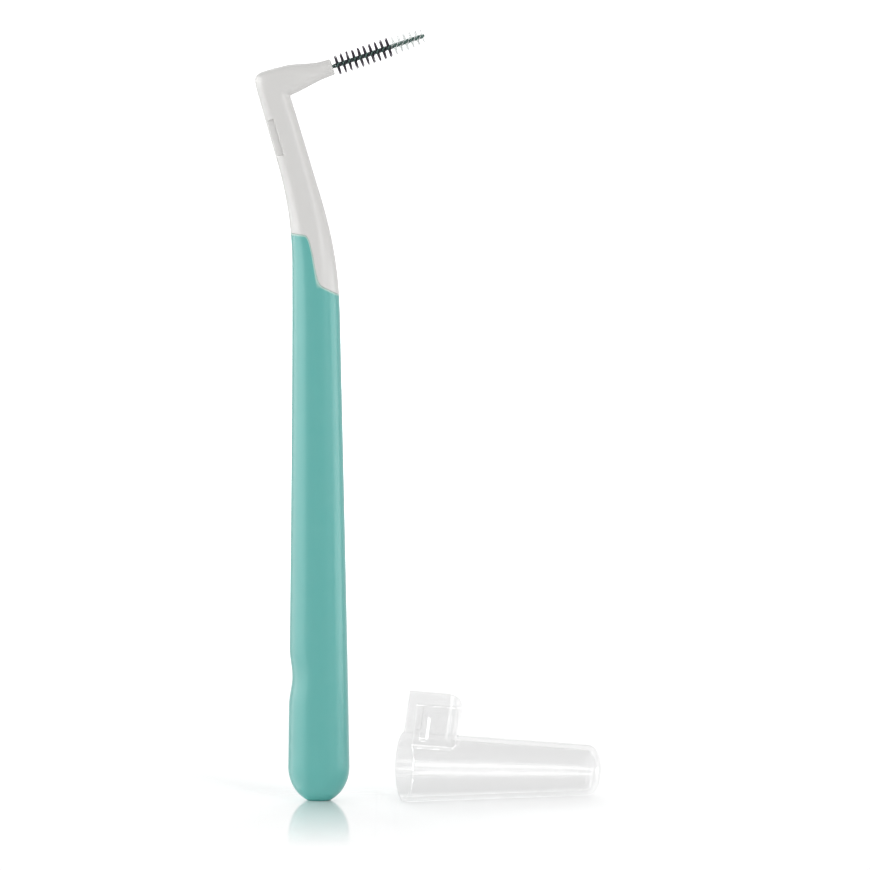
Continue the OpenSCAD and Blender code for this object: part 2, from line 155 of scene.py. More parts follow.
@dataclass
class Surface:
    """Points with four-sided faces and triangles, before it becomes a Blender mesh.

    values holds one number a point for each name, and becomes the mesh's attributes.
    """

    points: np.ndarray
    quads: np.ndarray
    triangles: np.ndarray = field(default_factory=lambda: np.zeros((0, 3), int))
    values: dict[str, np.ndarray] = field(default_factory=dict)

    @classmethod
    def from_rings(cls, rings: np.ndarray, name: str, value: np.ndarray) -> "Surface":
        """A closed skin over rings of points, with a fan of triangles at its first and last ring.

        Each ring turns counter-clockwise as seen from the rings that follow it, so that the faces
        point outwards.

        Args:
            rings: Points as (ring, point in the ring, 3).
            name: Name of the value.
            value: A number for each point of the rings.

        Returns:
            The closed surface.
        """
        count, sides = rings.shape[:2]
        index = np.arange(count * sides).reshape(count, sides)
        after = np.roll(index, -1, axis=1)
        quads = np.stack([index[:-1], after[:-1], after[1:], index[1:]], axis=-1).reshape(-1, 4)
        start, end = np.full(sides, count * sides), np.full(sides, count * sides + 1)
        fans = np.concatenate([np.stack([start, after[0], index[0]], axis=-1),
                               np.stack([end, index[-1], after[-1]], axis=-1)])
        points = np.vstack([rings.reshape(-1, 3), rings[0].mean(axis=0), rings[-1].mean(axis=0)])
        spread = np.concatenate([value.ravel(), [value[0].mean(), value[-1].mean()]])
        return cls(points, quads, fans, {name: spread})

    def moved(self, move: Callable[[np.ndarray], np.ndarray]) -> "Surface":
        """The surface with each point taken through a rigid move."""
        return Surface(move(self.points), self.quads, self.triangles, self.values)

    def to_object(self, name: str) -> bpy.types.Object:
        """A smooth-shaded Blender object of the surface, at the origin and linked to the scene.

        Args:
            name: Name of the object and of its mesh.

        Returns:
            The object.
        """
        mesh = bpy.data.meshes.new(name)
        corners = np.concatenate([self.quads.ravel(), self.triangles.ravel()]).astype(np.int32)
        sizes = np.repeat([4, 3], [len(self.quads), len(self.triangles)])
        mesh.vertices.add(len(self.points))
        mesh.vertices.foreach_set("co", self.points.astype(np.float32).ravel())
        mesh.loops.add(len(corners))
        mesh.loops.foreach_set("vertex_index", corners)
        mesh.polygons.add(len(sizes))
        mesh.polygons.foreach_set("loop_start", (np.cumsum(sizes) - sizes).astype(np.int32))
        mesh.polygons.foreach_set("use_smooth", np.ones(len(sizes), bool))
        mesh.update(calc_edges=True)
        mesh.validate()
        for title, value in self.values.items():
            layer = mesh.attributes.new(title, "FLOAT", "POINT")
            layer.data.foreach_set("value", value.astype(np.float32))
        return linked(name, mesh)


PROBE = 1e-6
SLIDES = 4
LEAST_SLOPE = 0.25


def implicit_surface(axes: list[np.ndarray],
                     distance: Callable[[np.ndarray], np.ndarray]) -> Surface:
    """The skin on which a signed distance is zero, as one four-sided face for each edge it cuts.

    Each cell of the grid that the skin passes through gets one point, the mean of the places where
    its edges are cut. The points then slide along the distance's gradient until they lie on it.

    Args:
        axes: The grid's places along X, Y and Z, growing.
        distance: Gives the signed distance of points (..., 3), negative inside the solid.

    Returns:
        The closed surface, its faces pointing outwards.
    """
    grid = np.stack(np.meshgrid(*axes, indexing="ij"), axis=-1)
    value = distance(grid)
    inside = value < 0.0
    cells = tuple(n - 1 for n in value.shape)
    total, cuts = np.zeros(cells + (3,)), np.zeros(cells)
    crossings, faces = [], []
    for axis in range(3):
        low, high = [slice(None)] * 3, [slice(None)] * 3
        low[axis], high[axis] = slice(None, -1), slice(1, None)
        low, high = tuple(low), tuple(high)
        cut = inside[low] != inside[high]
        share = np.where(cut, value[low] / np.where(cut, value[low] - value[high], 1.0), 0.0)
        place = mix(grid[low], grid[high], share[..., None])
        others = [a for a in range(3) if a != axis]
        for steps in product((0, 1), repeat=2):
            edge = [slice(None)] * 3
            for other, step in zip(others, steps):
                edge[other] = slice(step, cells[other] + step)
            picked = cut[tuple(edge)]
            total += np.where(picked[..., None], place[tuple(edge)], 0.0)
            cuts += picked
        crossings.append((cut, inside[low]))
    used = cuts > 0
    number = np.full(cells, -1)
    number[used] = np.arange(used.sum())
    points = total[used] / cuts[used][:, None]
    for axis, (cut, start_inside) in enumerate(crossings):
        pair = [(axis + 1) % 3, (axis + 2) % 3]
        where = np.argwhere(cut)
        inner = (where[:, pair] > 0) & (where[:, pair] < np.take(cells, pair))
        where = where[inner.all(axis=1)]
        around = []
        for back in ((1, 1), (0, 1), (0, 0), (1, 0)):
            cell = where.copy()
            cell[:, pair] -= back
            around.append(number[tuple(cell.T)])
        quad = np.stack(around, axis=-1)
        faces.append(np.where(start_inside[tuple(where.T)][:, None], quad, quad[:, ::-1]))
    for _ in range(SLIDES):
        rises = [distance(points + PROBE * unit) - distance(points - PROBE * unit)
                 for unit in np.eye(3)]
        gradient = np.stack(rises, axis=-1) / (2.0 * PROBE)
        length = np.maximum((gradient ** 2).sum(axis=-1), LEAST_SLOPE)
        points = points - gradient * (distance(points) / length)[:, None]
    return Surface(points, np.concatenate(faces))


# The brush in its side view

def arched(turn: Numbers, exponent: Numbers) -> tuple[Numbers, Numbers]:
    """The coordinates rho (cos a, sin a), with rho = (|cos a|^e + |sin a|^e)^(-1/e).

    Args:
        turn: Polar angles a.
        exponent: Roundness e: 2 gives a circle, and more is squarer.

    Returns:
        The two coordinates.
    """
    across, aside = np.cos(turn), np.sin(turn)
    rho = (np.abs(across) ** exponent + np.abs(aside) ** exponent) ** (-1.0 / exponent)
    return across * rho, aside * rho


@dataclass(frozen=True)
class Sections:
    """Cross-sections of the moulded handle, each an arched ellipse set square to the side view.

    back and front hold the section's two ends in the side view, as (..., 2), half_t its half
    thickness, and exponent its roundness: 2 is an ellipse, and more is squarer.
    """

    back: np.ndarray
    front: np.ndarray
    half_t: np.ndarray
    exponent: np.ndarray

    def inset(self, wall: Numbers) -> "Sections":
        """The same sections, each drawn in by the wall.

        Args:
            wall: How far to draw them in, one for all or one for each.

        Returns:
            The smaller sections.
        """
        arm = self.front - self.back
        step = np.asarray(wall)[..., None] * (arm / np.linalg.norm(arm, axis=-1, keepdims=True))
        return Sections(self.back + step, self.front - step, self.half_t - wall, self.exponent)

    def points(self, turn: np.ndarray) -> np.ndarray:
        """Points of the sections at polar angles: the arched coordinates, scaled by half sizes.

        Args:
            turn: Polar angles of the points round each section.

        Returns:
            The points, as (..., 3).
        """
        across, aside = arched(turn, self.exponent)
        middle, arm = (self.back + self.front) / 2.0, (self.front - self.back) / 2.0
        return np.stack([middle[..., 0] + arm[..., 0] * across, self.half_t * aside,
                         middle[..., 1] + arm[..., 1] * across], axis=-1)


@dataclass
class SideView:
    """Sizes of the handle, neck, elbow and arm, and the lines that they draw in the side view."""

    seam_height: float = 0.0792
    tail_w: float = 0.0089
    tail_len: float = 0.0053
    tail_t: float = 0.0074
    top_w: float = 0.0069
    top_t: float = 0.0058
    foot_w: float = 0.0032
    bow: float = 0.00034
    dent_height: float = 0.0181
    dent_len: float = 0.0086
    dent_depth: float = 0.00043
    seam_step: float = 0.00345
    seam_back_fall: float = 0.0002
    seam_front_fall: float = 0.0018
    seam_turn_share: float = 0.12
    neck_rise: float = 0.0247
    neck_w: float = 0.0046
    neck_t: float = 0.0038
    neck_lean: float = math.radians(16.9)
    neck_taper: float = math.radians(2.1)
    front_bend_rise: float = 0.0004
    front_bend_len: float = 0.009
    back_bend_rise: float = 0.0063
    back_bend_len: float = 0.0075
    arm_rise: float = math.radians(18.8)
    arm_len: float = 0.0093
    arm_tip_d: float = 0.0024
    arm_crown: float = 0.0024
    arm_belly: float = 0.00195
    inner_round: float = 0.0003
    crown_angle: float = math.radians(-4.5)
    handle_exponent: float = 2.4
    neck_exponent: float = 3.2
    arm_tip_exponent: float = 2.0
    elbow_exponent: float = 6.5
    crown_ease_share: float = 1.2
    crown_line_share: float = 0.25
    belly_ease_share: float = 1.25
    belly_line_share: float = 0.4
    side_ease_share: float = 1.1
    round_ease_share: float = 1.4

    def __post_init__(self) -> None:
        """Works out the heights, slopes and centres that follow from the sizes.

        The foot angle is where the tail's arc meets the flat foot. The neck's fit is what its
        front gives to reach the neck's width at the elbow. The pivot is the centre of the inner
        round, about which the elbow's sections turn.
        """
        self.foot_angle = math.asin(self.foot_w / self.tail_w)
        self.tail_top = self.tail_len * math.cos(self.foot_angle)
        self.seam_low = self.seam_height - self.seam_step - 2.0 * self.seam_front_fall
        self.seam_high = self.seam_height + self.seam_step + self.seam_front_fall
        self.front_slope = math.tan(self.neck_lean + self.neck_taper / 2.0)
        self.back_slope = math.tan(self.neck_lean - self.neck_taper / 2.0)
        self.elbow_z = self.seam_height + self.neck_rise
        rise = self.elbow_z - self.seam_height
        front_run = self.front_slope * (rise - self.front_bend_rise)
        back_run = self.back_slope * (rise - self.back_bend_rise)
        self.neck_fit = self.neck_w - (self.top_w - front_run + back_run)

        front, back = float(self.front_x(self.elbow_z)), float(self.back_x(self.elbow_z))
        self.elbow_half_w = (front - back) / 2.0
        self.elbow_mid = np.array([(front + back) / 2.0, self.elbow_z])
        self.arm_dir = np.array([math.cos(self.arm_rise), math.sin(self.arm_rise)])
        self.arm_up = np.array([-math.sin(self.arm_rise), math.cos(self.arm_rise)])
        self.pivot_drop = self.arm_belly + self.inner_round
        run = self.elbow_half_w + self.inner_round
        run += self.pivot_drop * (self.front_slope * self.arm_dir[0] - self.arm_dir[1])
        self.pivot_run = run / (self.arm_dir[0] + self.front_slope * self.arm_dir[1])
        self.pivot = (self.elbow_mid + self.pivot_run * self.arm_dir
                      - self.pivot_drop * self.arm_up)

    def tail_share(self, z: Numbers) -> Numbers:
        """Half width as a share of the full one: an ellipse's arc in the tail, and 1 above it."""
        arc = np.sqrt(np.maximum(0.0, 1.0 - ((self.tail_top - z) / self.tail_len) ** 2))
        return np.where(z >= self.tail_top, 1.0, arc)

    def handle_share(self, z: Numbers) -> Numbers:
        """How far the height lies between the tail and the seam, from 0 to 1."""
        return clamp((z - self.tail_top) / (self.seam_low - self.tail_top))

    def half_w(self, z: Numbers) -> Numbers:
        """Half width of the handle."""
        return mix(self.tail_w, self.top_w, self.handle_share(z)) / 2.0 * self.tail_share(z)

    def middle_x(self, z: Numbers) -> Numbers:
        """The handle's bowed centreline."""
        return -self.bow * clamp(z / self.seam_low) ** 2

    def back_x(self, z: Numbers) -> Numbers:
        """The back line: the handle's edge, the dent, and the neck's lean past its bend.

        Args:
            z: Heights.

        Returns:
            X of the line at each height.
        """
        dent = self.dent_depth * bump((z - self.dent_height) / (self.dent_len / 2.0))
        past = z - self.seam_height - self.back_bend_rise
        lean = self.back_slope * soft_ramp(past, self.back_bend_len)
        return self.middle_x(z) - self.half_w(z) + dent - lean

    def front_x(self, z: Numbers) -> Numbers:
        """The front line: the handle's edge, the neck's lean past its bend, and its fit.

        Args:
            z: Heights.

        Returns:
            X of the line at each height.
        """
        past = z - self.seam_height - self.front_bend_rise
        lean = self.front_slope * soft_ramp(past, self.front_bend_len)
        fit = self.neck_fit * smooth((z - self.seam_high) / (self.elbow_z - self.seam_high))
        return self.middle_x(z) + self.half_w(z) - lean + fit

    def half_t(self, z: Numbers) -> Numbers:
        """Half thickness: the handle's, easing into the neck's past the seam.

        Args:
            z: Heights.

        Returns:
            Half the thickness at each height.
        """
        handle = mix(self.tail_t, self.top_t, self.handle_share(z)) / 2.0 * self.tail_share(z)
        eased = smooth((z - self.seam_low) / (2.0 * (self.seam_high - self.seam_low)))
        return mix(handle, self.neck_t / 2.0, eased)

    def level(self, z: np.ndarray) -> Sections:
        """Level sections at the given heights.

        Args:
            z: Heights.

        Returns:
            A section for each height.
        """
        eased = smooth((z - self.seam_low) / self.neck_rise)
        return Sections(np.stack([self.back_x(z), z], axis=-1),
                        np.stack([self.front_x(z), z], axis=-1), self.half_t(z),
                        mix(self.handle_exponent, self.neck_exponent, eased))

    def between(self, low: Numbers, high: Numbers, count: int, turn: np.ndarray) -> np.ndarray:
        """Rings evenly between two rows of heights, which are the first and last of the count."""
        share = np.linspace(0.0, 1.0, count)[1:-1, None]
        return self.level(mix(low, high, share)).points(turn)

    def seam_fall(self, place: np.ndarray) -> np.ndarray:
        """How steadily the seam falls at a place, from -1 at the back to 1 in front."""
        return np.where(place < 0.0, self.seam_back_fall, self.seam_front_fall)

    def seam_z(self, place: np.ndarray) -> np.ndarray:
        """Height of the seam: a steep tanh step and its two steady falls."""
        step = self.seam_step * np.tanh(place / self.seam_turn_share)
        return self.seam_height - step - self.seam_fall(place) * place

    def seam_stretch(self, place: np.ndarray) -> np.ndarray:
        """How much longer the seam is than the width that it crosses, the root of 1 + slope^2."""
        step = self.seam_step / self.seam_turn_share / np.cosh(place / self.seam_turn_share) ** 2
        return np.sqrt(1.0 + ((step + self.seam_fall(place)) / (self.top_w / 2.0)) ** 2)

    def elbow(self, turn: np.ndarray) -> Sections:
        """The elbow's sections at the given angles about the pivot.

        Their outer ends follow the neck's back line and the arm's crown line, the two joined as
        (a^e + b^e)^(-1/e), which rounds the corner where the lines meet.

        Args:
            turn: Angles about the pivot, from +X towards +Z.

        Returns:
            A section for each angle.
        """
        back_run = self.pivot[0] - self.back_x(self.pivot[1])
        to_back = np.maximum(0.0, -np.cos(turn) - self.back_slope * np.sin(turn)) / back_run
        crown_run = (self.pivot_drop + self.arm_crown) * math.cos(self.crown_angle)
        to_crown = np.cos(turn - math.pi / 2.0 - self.arm_rise - self.crown_angle) / crown_run
        e = self.elbow_exponent
        reach = (to_back ** e + to_crown ** e) ** (-1.0 / e)
        ray = np.stack([np.cos(turn), np.sin(turn)], axis=-1)
        full = np.ones_like(turn)
        return Sections(self.pivot + reach[..., None] * ray, self.pivot + self.inner_round * ray,
                        self.neck_t / 2.0 * full, self.neck_exponent * full)

    def arm(self, run: np.ndarray) -> Sections:
        """The arm's sections at distances along its axis, narrowing to its round tip.

        Args:
            run: Distances from the elbow's middle.

        Returns:
            A section for each distance.
        """
        t = (run - self.pivot_run) / (self.arm_len - self.pivot_run)
        tip = self.arm_tip_d / 2.0
        crown = mix(smooth(self.crown_ease_share * t), t, self.crown_line_share)
        belly = mix(smooth(self.belly_ease_share * t), t, self.belly_line_share)
        up, down = mix(self.arm_crown, tip, crown), mix(self.arm_belly, tip, belly)
        on_axis = self.elbow_mid + run[..., None] * self.arm_dir
        side, rounding = smooth(self.side_ease_share * t), smooth(self.round_ease_share * t)
        return Sections(on_axis + up[..., None] * self.arm_up,
                        on_axis - down[..., None] * self.arm_up,
                        mix(self.neck_t, self.arm_tip_d, side) / 2.0,
                        mix(self.neck_exponent, self.arm_tip_exponent, rounding))

    def from_arm(self, points: np.ndarray) -> np.ndarray:
        """Takes points with +X along the arm, from the middle of the elbow, into the frame.

        Args:
            points: Points as (..., 3), in the arm's axes.

        Returns:
            The same points in the frame.
        """
        along, aside, up = np.moveaxis(points, -1, 0)
        x, z = turned(along, up, self.arm_rise)
        return np.stack([self.elbow_mid[0] + x, aside, self.elbow_mid[1] + z], axis=-1)


@dataclass(frozen=True)
class Twist:
    """How the wire's two legs wind round each other, and where its filaments stand.

    Places are measured along the arm's axis from the elbow's middle.
    """

    side: SideView
    strand_d: float = 0.0003
    pitch: float = 0.00173
    hold: float = 0.007
    bare_len: float = 0.0005
    dark_len: float = 0.0084
    clear_len: float = 0.0049
    filament_t: float = 0.00006
    strand_gap: float = 0.000012
    part_start: float = 0.0002
    part_len: float = 0.0004
    first_angle: float = math.radians(1.0)

    @property
    def strand_r(self) -> float:
        """Radius of one coated strand."""
        return self.strand_d / 2.0

    @property
    def start(self) -> float:
        """Where the legs part from the fold, inside the arm."""
        return self.side.arm_len - self.hold

    @property
    def dark_start(self) -> float:
        """Where the dark filaments begin."""
        return self.side.arm_len + self.bare_len

    @property
    def clear_start(self) -> float:
        """Where the clear filaments begin."""
        return self.dark_start + self.dark_len

    @property
    def end(self) -> float:
        """Where the wire is cut."""
        return self.clear_start + self.clear_len + self.strand_r

    def offset(self, x: Numbers) -> Numbers:
        """Distance from the axis to a strand's centre: the legs part where filaments begin."""
        parted = smooth((x - self.side.arm_len - self.part_start) / self.part_len)
        return self.strand_r + self.strand_gap + parted * self.filament_t / 2.0

    def angle(self, x: Numbers) -> Numbers:
        """Angle of the first leg: it falls as u^2 over the first turn, and steadily after it.

        Args:
            x: Places along the arm's axis.

        Returns:
            The angle at each place.
        """
        u = x - self.start
        eased = np.where(u < self.pitch, u * u / (2.0 * self.pitch), u - self.pitch / 2.0)
        return self.first_angle - 2.0 * np.pi / self.pitch * eased

    def slope(self, x: Numbers) -> Numbers:
        """How much a leg's centre moves round the axis for each unit along it."""
        eased = clamp((x - self.start) / self.pitch)
        return -2.0 * np.pi * self.offset(x) / self.pitch * eased


# Finishes

class Nodes:
    """A short way to add and link the nodes of a material, a world or a node group."""

    def __init__(self, tree: bpy.types.NodeTree) -> None:
        """Takes the tree that the nodes go into."""
        self.tree = tree

    @classmethod
    def emptied(cls, owner: bpy.types.Material | bpy.types.World) -> "Nodes":
        """The nodes of a material or world, all taken out first.

        Args:
            owner: The material or world.

        Returns:
            Its nodes.
        """
        owner.use_nodes = True
        owner.node_tree.nodes.clear()
        return cls(owner.node_tree)

    def add(self, kind: str, values: dict | None = None, **options) -> bpy.types.Node:
        """Adds a node.

        Args:
            kind: Blender's name for the node type.
            values: For each input, by name or number, a value to set, a socket to link from, or a
                node whose first output is linked.
            options: Settings of the node itself.

        Returns:
            The new node.
        """
        node = self.tree.nodes.new(kind)
        for name, value in options.items():
            setattr(node, name, value)
        for key, value in (values or {}).items():
            if isinstance(value, bpy.types.Node):
                value = value.outputs[0]
            if isinstance(value, Socket):
                self.tree.links.new(value, node.inputs[key])
            else:
                node.inputs[key].default_value = value
        return node

    def maths(self, operation: str, *values: float | Socket) -> Socket:
        """The result of a Math node on one, two or three numbers or sockets."""
        return self.add("ShaderNodeMath", dict(enumerate(values)), operation=operation).outputs[0]

    def blend(self, share: Socket, low: Socket | Colour, high: Socket | Colour) -> Socket:
        """The colour that lies the given share of the way from low to high."""
        values = {"Factor": share, "A": low, "B": high}
        return self.add("ShaderNodeMix", values, data_type="RGBA").outputs["Result"]

    def ramp(self, value: Socket, start: float, end: float, first: float, last: float,
             curve: str = "LINEAR") -> Socket:
        """A ramp from first to last while the value goes from start to end."""
        values = {"Value": value, 1: start, 2: end, 3: first, 4: last}
        return self.add("ShaderNodeMapRange", values, interpolation_type=curve).outputs["Result"]

    def noise(self, place: Socket, scale: float | Socket, detail: float,
              roughness: float = 0.5) -> Socket:
        """Noise from 0 to 1 at a scale."""
        values = {"Vector": place, "Scale": scale, "Detail": detail, "Roughness": roughness}
        return self.add("ShaderNodeTexNoise", values).outputs["Fac"]

    def either(self, share: float | Socket, first: bpy.types.Node,
               second: bpy.types.Node) -> bpy.types.Node:
        """The given share of the second shader, and the rest of the first."""
        return self.add("ShaderNodeMixShader", {0: share, 1: first, 2: second})

    def value(self, name: str) -> Socket:
        """The piece's own value of that name."""
        return self.add("ShaderNodeAttribute", attribute_name=name).outputs["Fac"]

    def facing(self) -> Socket:
        """0 where the surface is seen straight on, and 1 at its rims."""
        return self.add("ShaderNodeLayerWeight", {"Blend": 0.5}).outputs["Facing"]


def rgba(red: float, green: float, blue: float) -> Colour:
    """A linear colour, full and opaque, from the 0 to 255 values that a screen shows.

    Args:
        red: Red, from 0 to 255.
        green: Green, from 0 to 255.
        blue: Blue, from 0 to 255.

    Returns:
        The colour.
    """
    levels = [value / 255.0 for value in (red, green, blue)]
    linear = [v / 12.92 if v <= 0.04045 else ((v + 0.055) / 1.055) ** 2.4 for v in levels]
    return (*linear, 1.0)


def moulded_grain_group() -> bpy.types.NodeTree:
    """Fine moulded grain: a height, a roughness and a slow tint, from noise at two scales.

    Returns:
        The node group, which the grained finishes share.
    """
    fine_detail, fine_roughness, slow_detail, slow_share = 3.0, 0.6, 2.0, 0.03
    tree = bpy.data.node_groups.new("moulded_grain", "ShaderNodeTree")
    for title in ("Vector", "Grain Scale", "Roughness", "Roughness Spread"):
        kind = "NodeSocketVector" if title == "Vector" else "NodeSocketFloat"
        tree.interface.new_socket(title, in_out="INPUT", socket_type=kind)
    for title in ("Height", "Roughness", "Tint"):
        tree.interface.new_socket(title, in_out="OUTPUT", socket_type="NodeSocketFloat")
    nodes = Nodes(tree)
    given = nodes.add("NodeGroupInput").outputs
    fine = nodes.noise(given["Vector"], given["Grain Scale"], fine_detail, fine_roughness)
    slow_scale = nodes.maths("MULTIPLY", given["Grain Scale"], slow_share)
    slow = nodes.noise(given["Vector"], slow_scale, slow_detail)
    around = nodes.maths("SUBTRACT", slow, 0.5)
    roughness = nodes.maths("MULTIPLY_ADD", around, given["Roughness Spread"], given["Roughness"])
    nodes.add("NodeGroupOutput", {"Height": fine, "Roughness": roughness, "Tint": slow})
    return tree


class Slot(Enum):
    """The record's material slots."""

    GRIP = "grip"
    NECK = "neck"
    WIRE = "wire"
    DARK = "dark_bristle"
    CLEAR = "clear_bristle"
    CAP = "cap"


@dataclass(frozen=True, kw_only=True)
class Finish:
    """What every finish holds: its name and the slot that it belongs to."""

    name: str
    slot: Slot

    def shader(self, nodes: Nodes, place: Socket) -> bpy.types.Node:
        """Builds the finish's shader on the object coordinates."""
        raise NotImplementedError

    def material(self) -> bpy.types.Material:
        """Builds the material.

        Returns:
            The material, named as the finish is.
        """
        material = bpy.data.materials.new(self.name)
        nodes = Nodes.emptied(material)
        place = nodes.add("ShaderNodeTexCoord").outputs["Object"]
        nodes.add("ShaderNodeOutputMaterial", {"Surface": self.shader(nodes, place)})
        return material

    def put_on(self, piece: bpy.types.Object, body: str, *replaced: str) -> None:
        """Gives the piece this finish and says what it rides on and stands for.

        Args:
            piece: The piece's object.
            body: The body that it rides on.
            replaced: The frame's nodes that it stands for.
        """
        piece.data.materials.append(self.material())
        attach(piece, body)
        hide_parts(*replaced)
        LOG.info("%s: %d points, %d faces, rides on %s", piece.name, len(piece.data.vertices),
                 len(piece.data.polygons), body)


@dataclass(frozen=True, kw_only=True)
class GrainedFinish(Finish):
    """A finish with moulded grain, at the scale and depth that it gives."""

    grain: bpy.types.NodeTree
    grain_scale: float
    grain_depth: float
    roughness: float
    roughness_spread: float

    def grained(self, nodes: Nodes, place: Socket) -> tuple[Socket, Socket, Socket]:
        """The grain's roughness, its slow tint and its normal.

        Args:
            nodes: The material's nodes.
            place: The object coordinates.

        Returns:
            The roughness, the tint and the normal.
        """
        values = {"Vector": place, "Grain Scale": self.grain_scale, "Roughness": self.roughness,
                  "Roughness Spread": self.roughness_spread}
        grain = nodes.add("ShaderNodeGroup", values, node_tree=self.grain).outputs
        normal = nodes.add("ShaderNodeBump", {"Height": grain["Height"],
                                              "Distance": self.grain_depth})
        return grain["Roughness"], grain["Tint"], normal.outputs["Normal"]


@dataclass(frozen=True, kw_only=True)
class MouldedFinish(GrainedFinish):
    """Satin moulded plastic, its body colour paler where the lip value is 1, a narrow band beside
    the seam.
    """

    colour: Colour
    pale: Colour
    grain_scale: float = 9000.0
    grain_depth: float = 0.000002
    roughness: float = 0.3
    roughness_spread: float = 0.08
    tint_share: float = 0.06
    glow_depth: float = 0.0006
    glow_share: float = 0.15
    gloss: float = 1.5

    def shader(self, nodes: Nodes, place: Socket) -> bpy.types.Node:
        """Builds the shader, with grain, a slow tint, and the pale lip where the lip value is 1.

        Args:
            nodes: The material's nodes.
            place: The object coordinates.

        Returns:
            The finish's shader.
        """
        roughness, tint, normal = self.grained(nodes, place)
        body = nodes.blend(nodes.maths("MULTIPLY", tint, self.tint_share), self.colour, self.pale)
        return nodes.add("ShaderNodeBsdfPrincipled", {
            "Base Color": nodes.blend(nodes.value("lip"), body, self.pale),
            "Roughness": roughness, "IOR": self.gloss, "Normal": normal,
            "Subsurface Weight": self.glow_share, "Subsurface Scale": self.glow_depth,
            "Subsurface Radius": (1.0, 1.0, 1.0)})


@dataclass(frozen=True, kw_only=True)
class CoatedWireFinish(GrainedFinish):
    """Twisted steel wire in a thin green coat, bare steel where it is cut."""

    coat_colour: Colour
    steel: Colour
    grain_scale: float = 14000.0
    grain_depth: float = 0.000002
    roughness: float = 0.3
    roughness_spread: float = 0.1
    shine: float = 0.05
    coat: float = 0.15
    coat_roughness: float = 0.3

    def shader(self, nodes: Nodes, place: Socket) -> bpy.types.Node:
        """Builds the shader: the coat, and steel where the piece's cut value is 1.

        Args:
            nodes: The material's nodes.
            place: The object coordinates.

        Returns:
            The finish's shader.
        """
        roughness, _, normal = self.grained(nodes, place)
        cut = nodes.value("cut")
        return nodes.add("ShaderNodeBsdfPrincipled", {
            "Base Color": nodes.blend(cut, self.coat_colour, self.steel),
            "Metallic": nodes.maths("MULTIPLY_ADD", cut, 1.0 - self.shine, self.shine),
            "Coat Weight": self.coat, "Coat Roughness": self.coat_roughness,
            "Roughness": roughness, "Normal": normal})


@dataclass(frozen=True, kw_only=True)
class FilamentFinish(Finish):
    """Nylon filament, its colour easing from root to tip. The root colour carries painted light:
    on a dark filament painted shade where the filaments crowd at the wire, on a clear one a
    painted green reflection of the wire. A clear one shows mostly at its rims.
    """

    root: Colour
    tip: Colour
    cover: float = 1.0
    rim_cover: float = 1.0
    roughness: float = 0.4
    streak_scale: float = 6000.0
    streak_detail: float = 1.0
    streak_spread: float = 0.12
    gloss: float = 1.5

    def shader(self, nodes: Nodes, place: Socket) -> bpy.types.Node:
        """Builds the shader, its colour led by the reach value, 0 at the root and 1 at the tip.

        Args:
            nodes: The material's nodes.
            place: The object coordinates.

        Returns:
            The finish's shader.
        """
        streak = nodes.noise(place, self.streak_scale, self.streak_detail)
        least = self.roughness - self.streak_spread / 2.0
        shader = nodes.add("ShaderNodeBsdfPrincipled", {
            # the root colour is painted light: shade at a dark root, a green reflection of the wire
            # at a clear one
            "Base Color": nodes.blend(nodes.value("reach"), self.root, self.tip),
            "Roughness": nodes.maths("MULTIPLY_ADD", streak, self.streak_spread, least),
            "IOR": self.gloss})
        if self.rim_cover > self.cover:
            facing = nodes.facing()
            cover = nodes.maths("MULTIPLY_ADD", nodes.maths("MULTIPLY", facing, facing),
                                self.rim_cover - self.cover, self.cover)
            nodes.tree.links.new(cover, shader.inputs["Alpha"])
        return shader


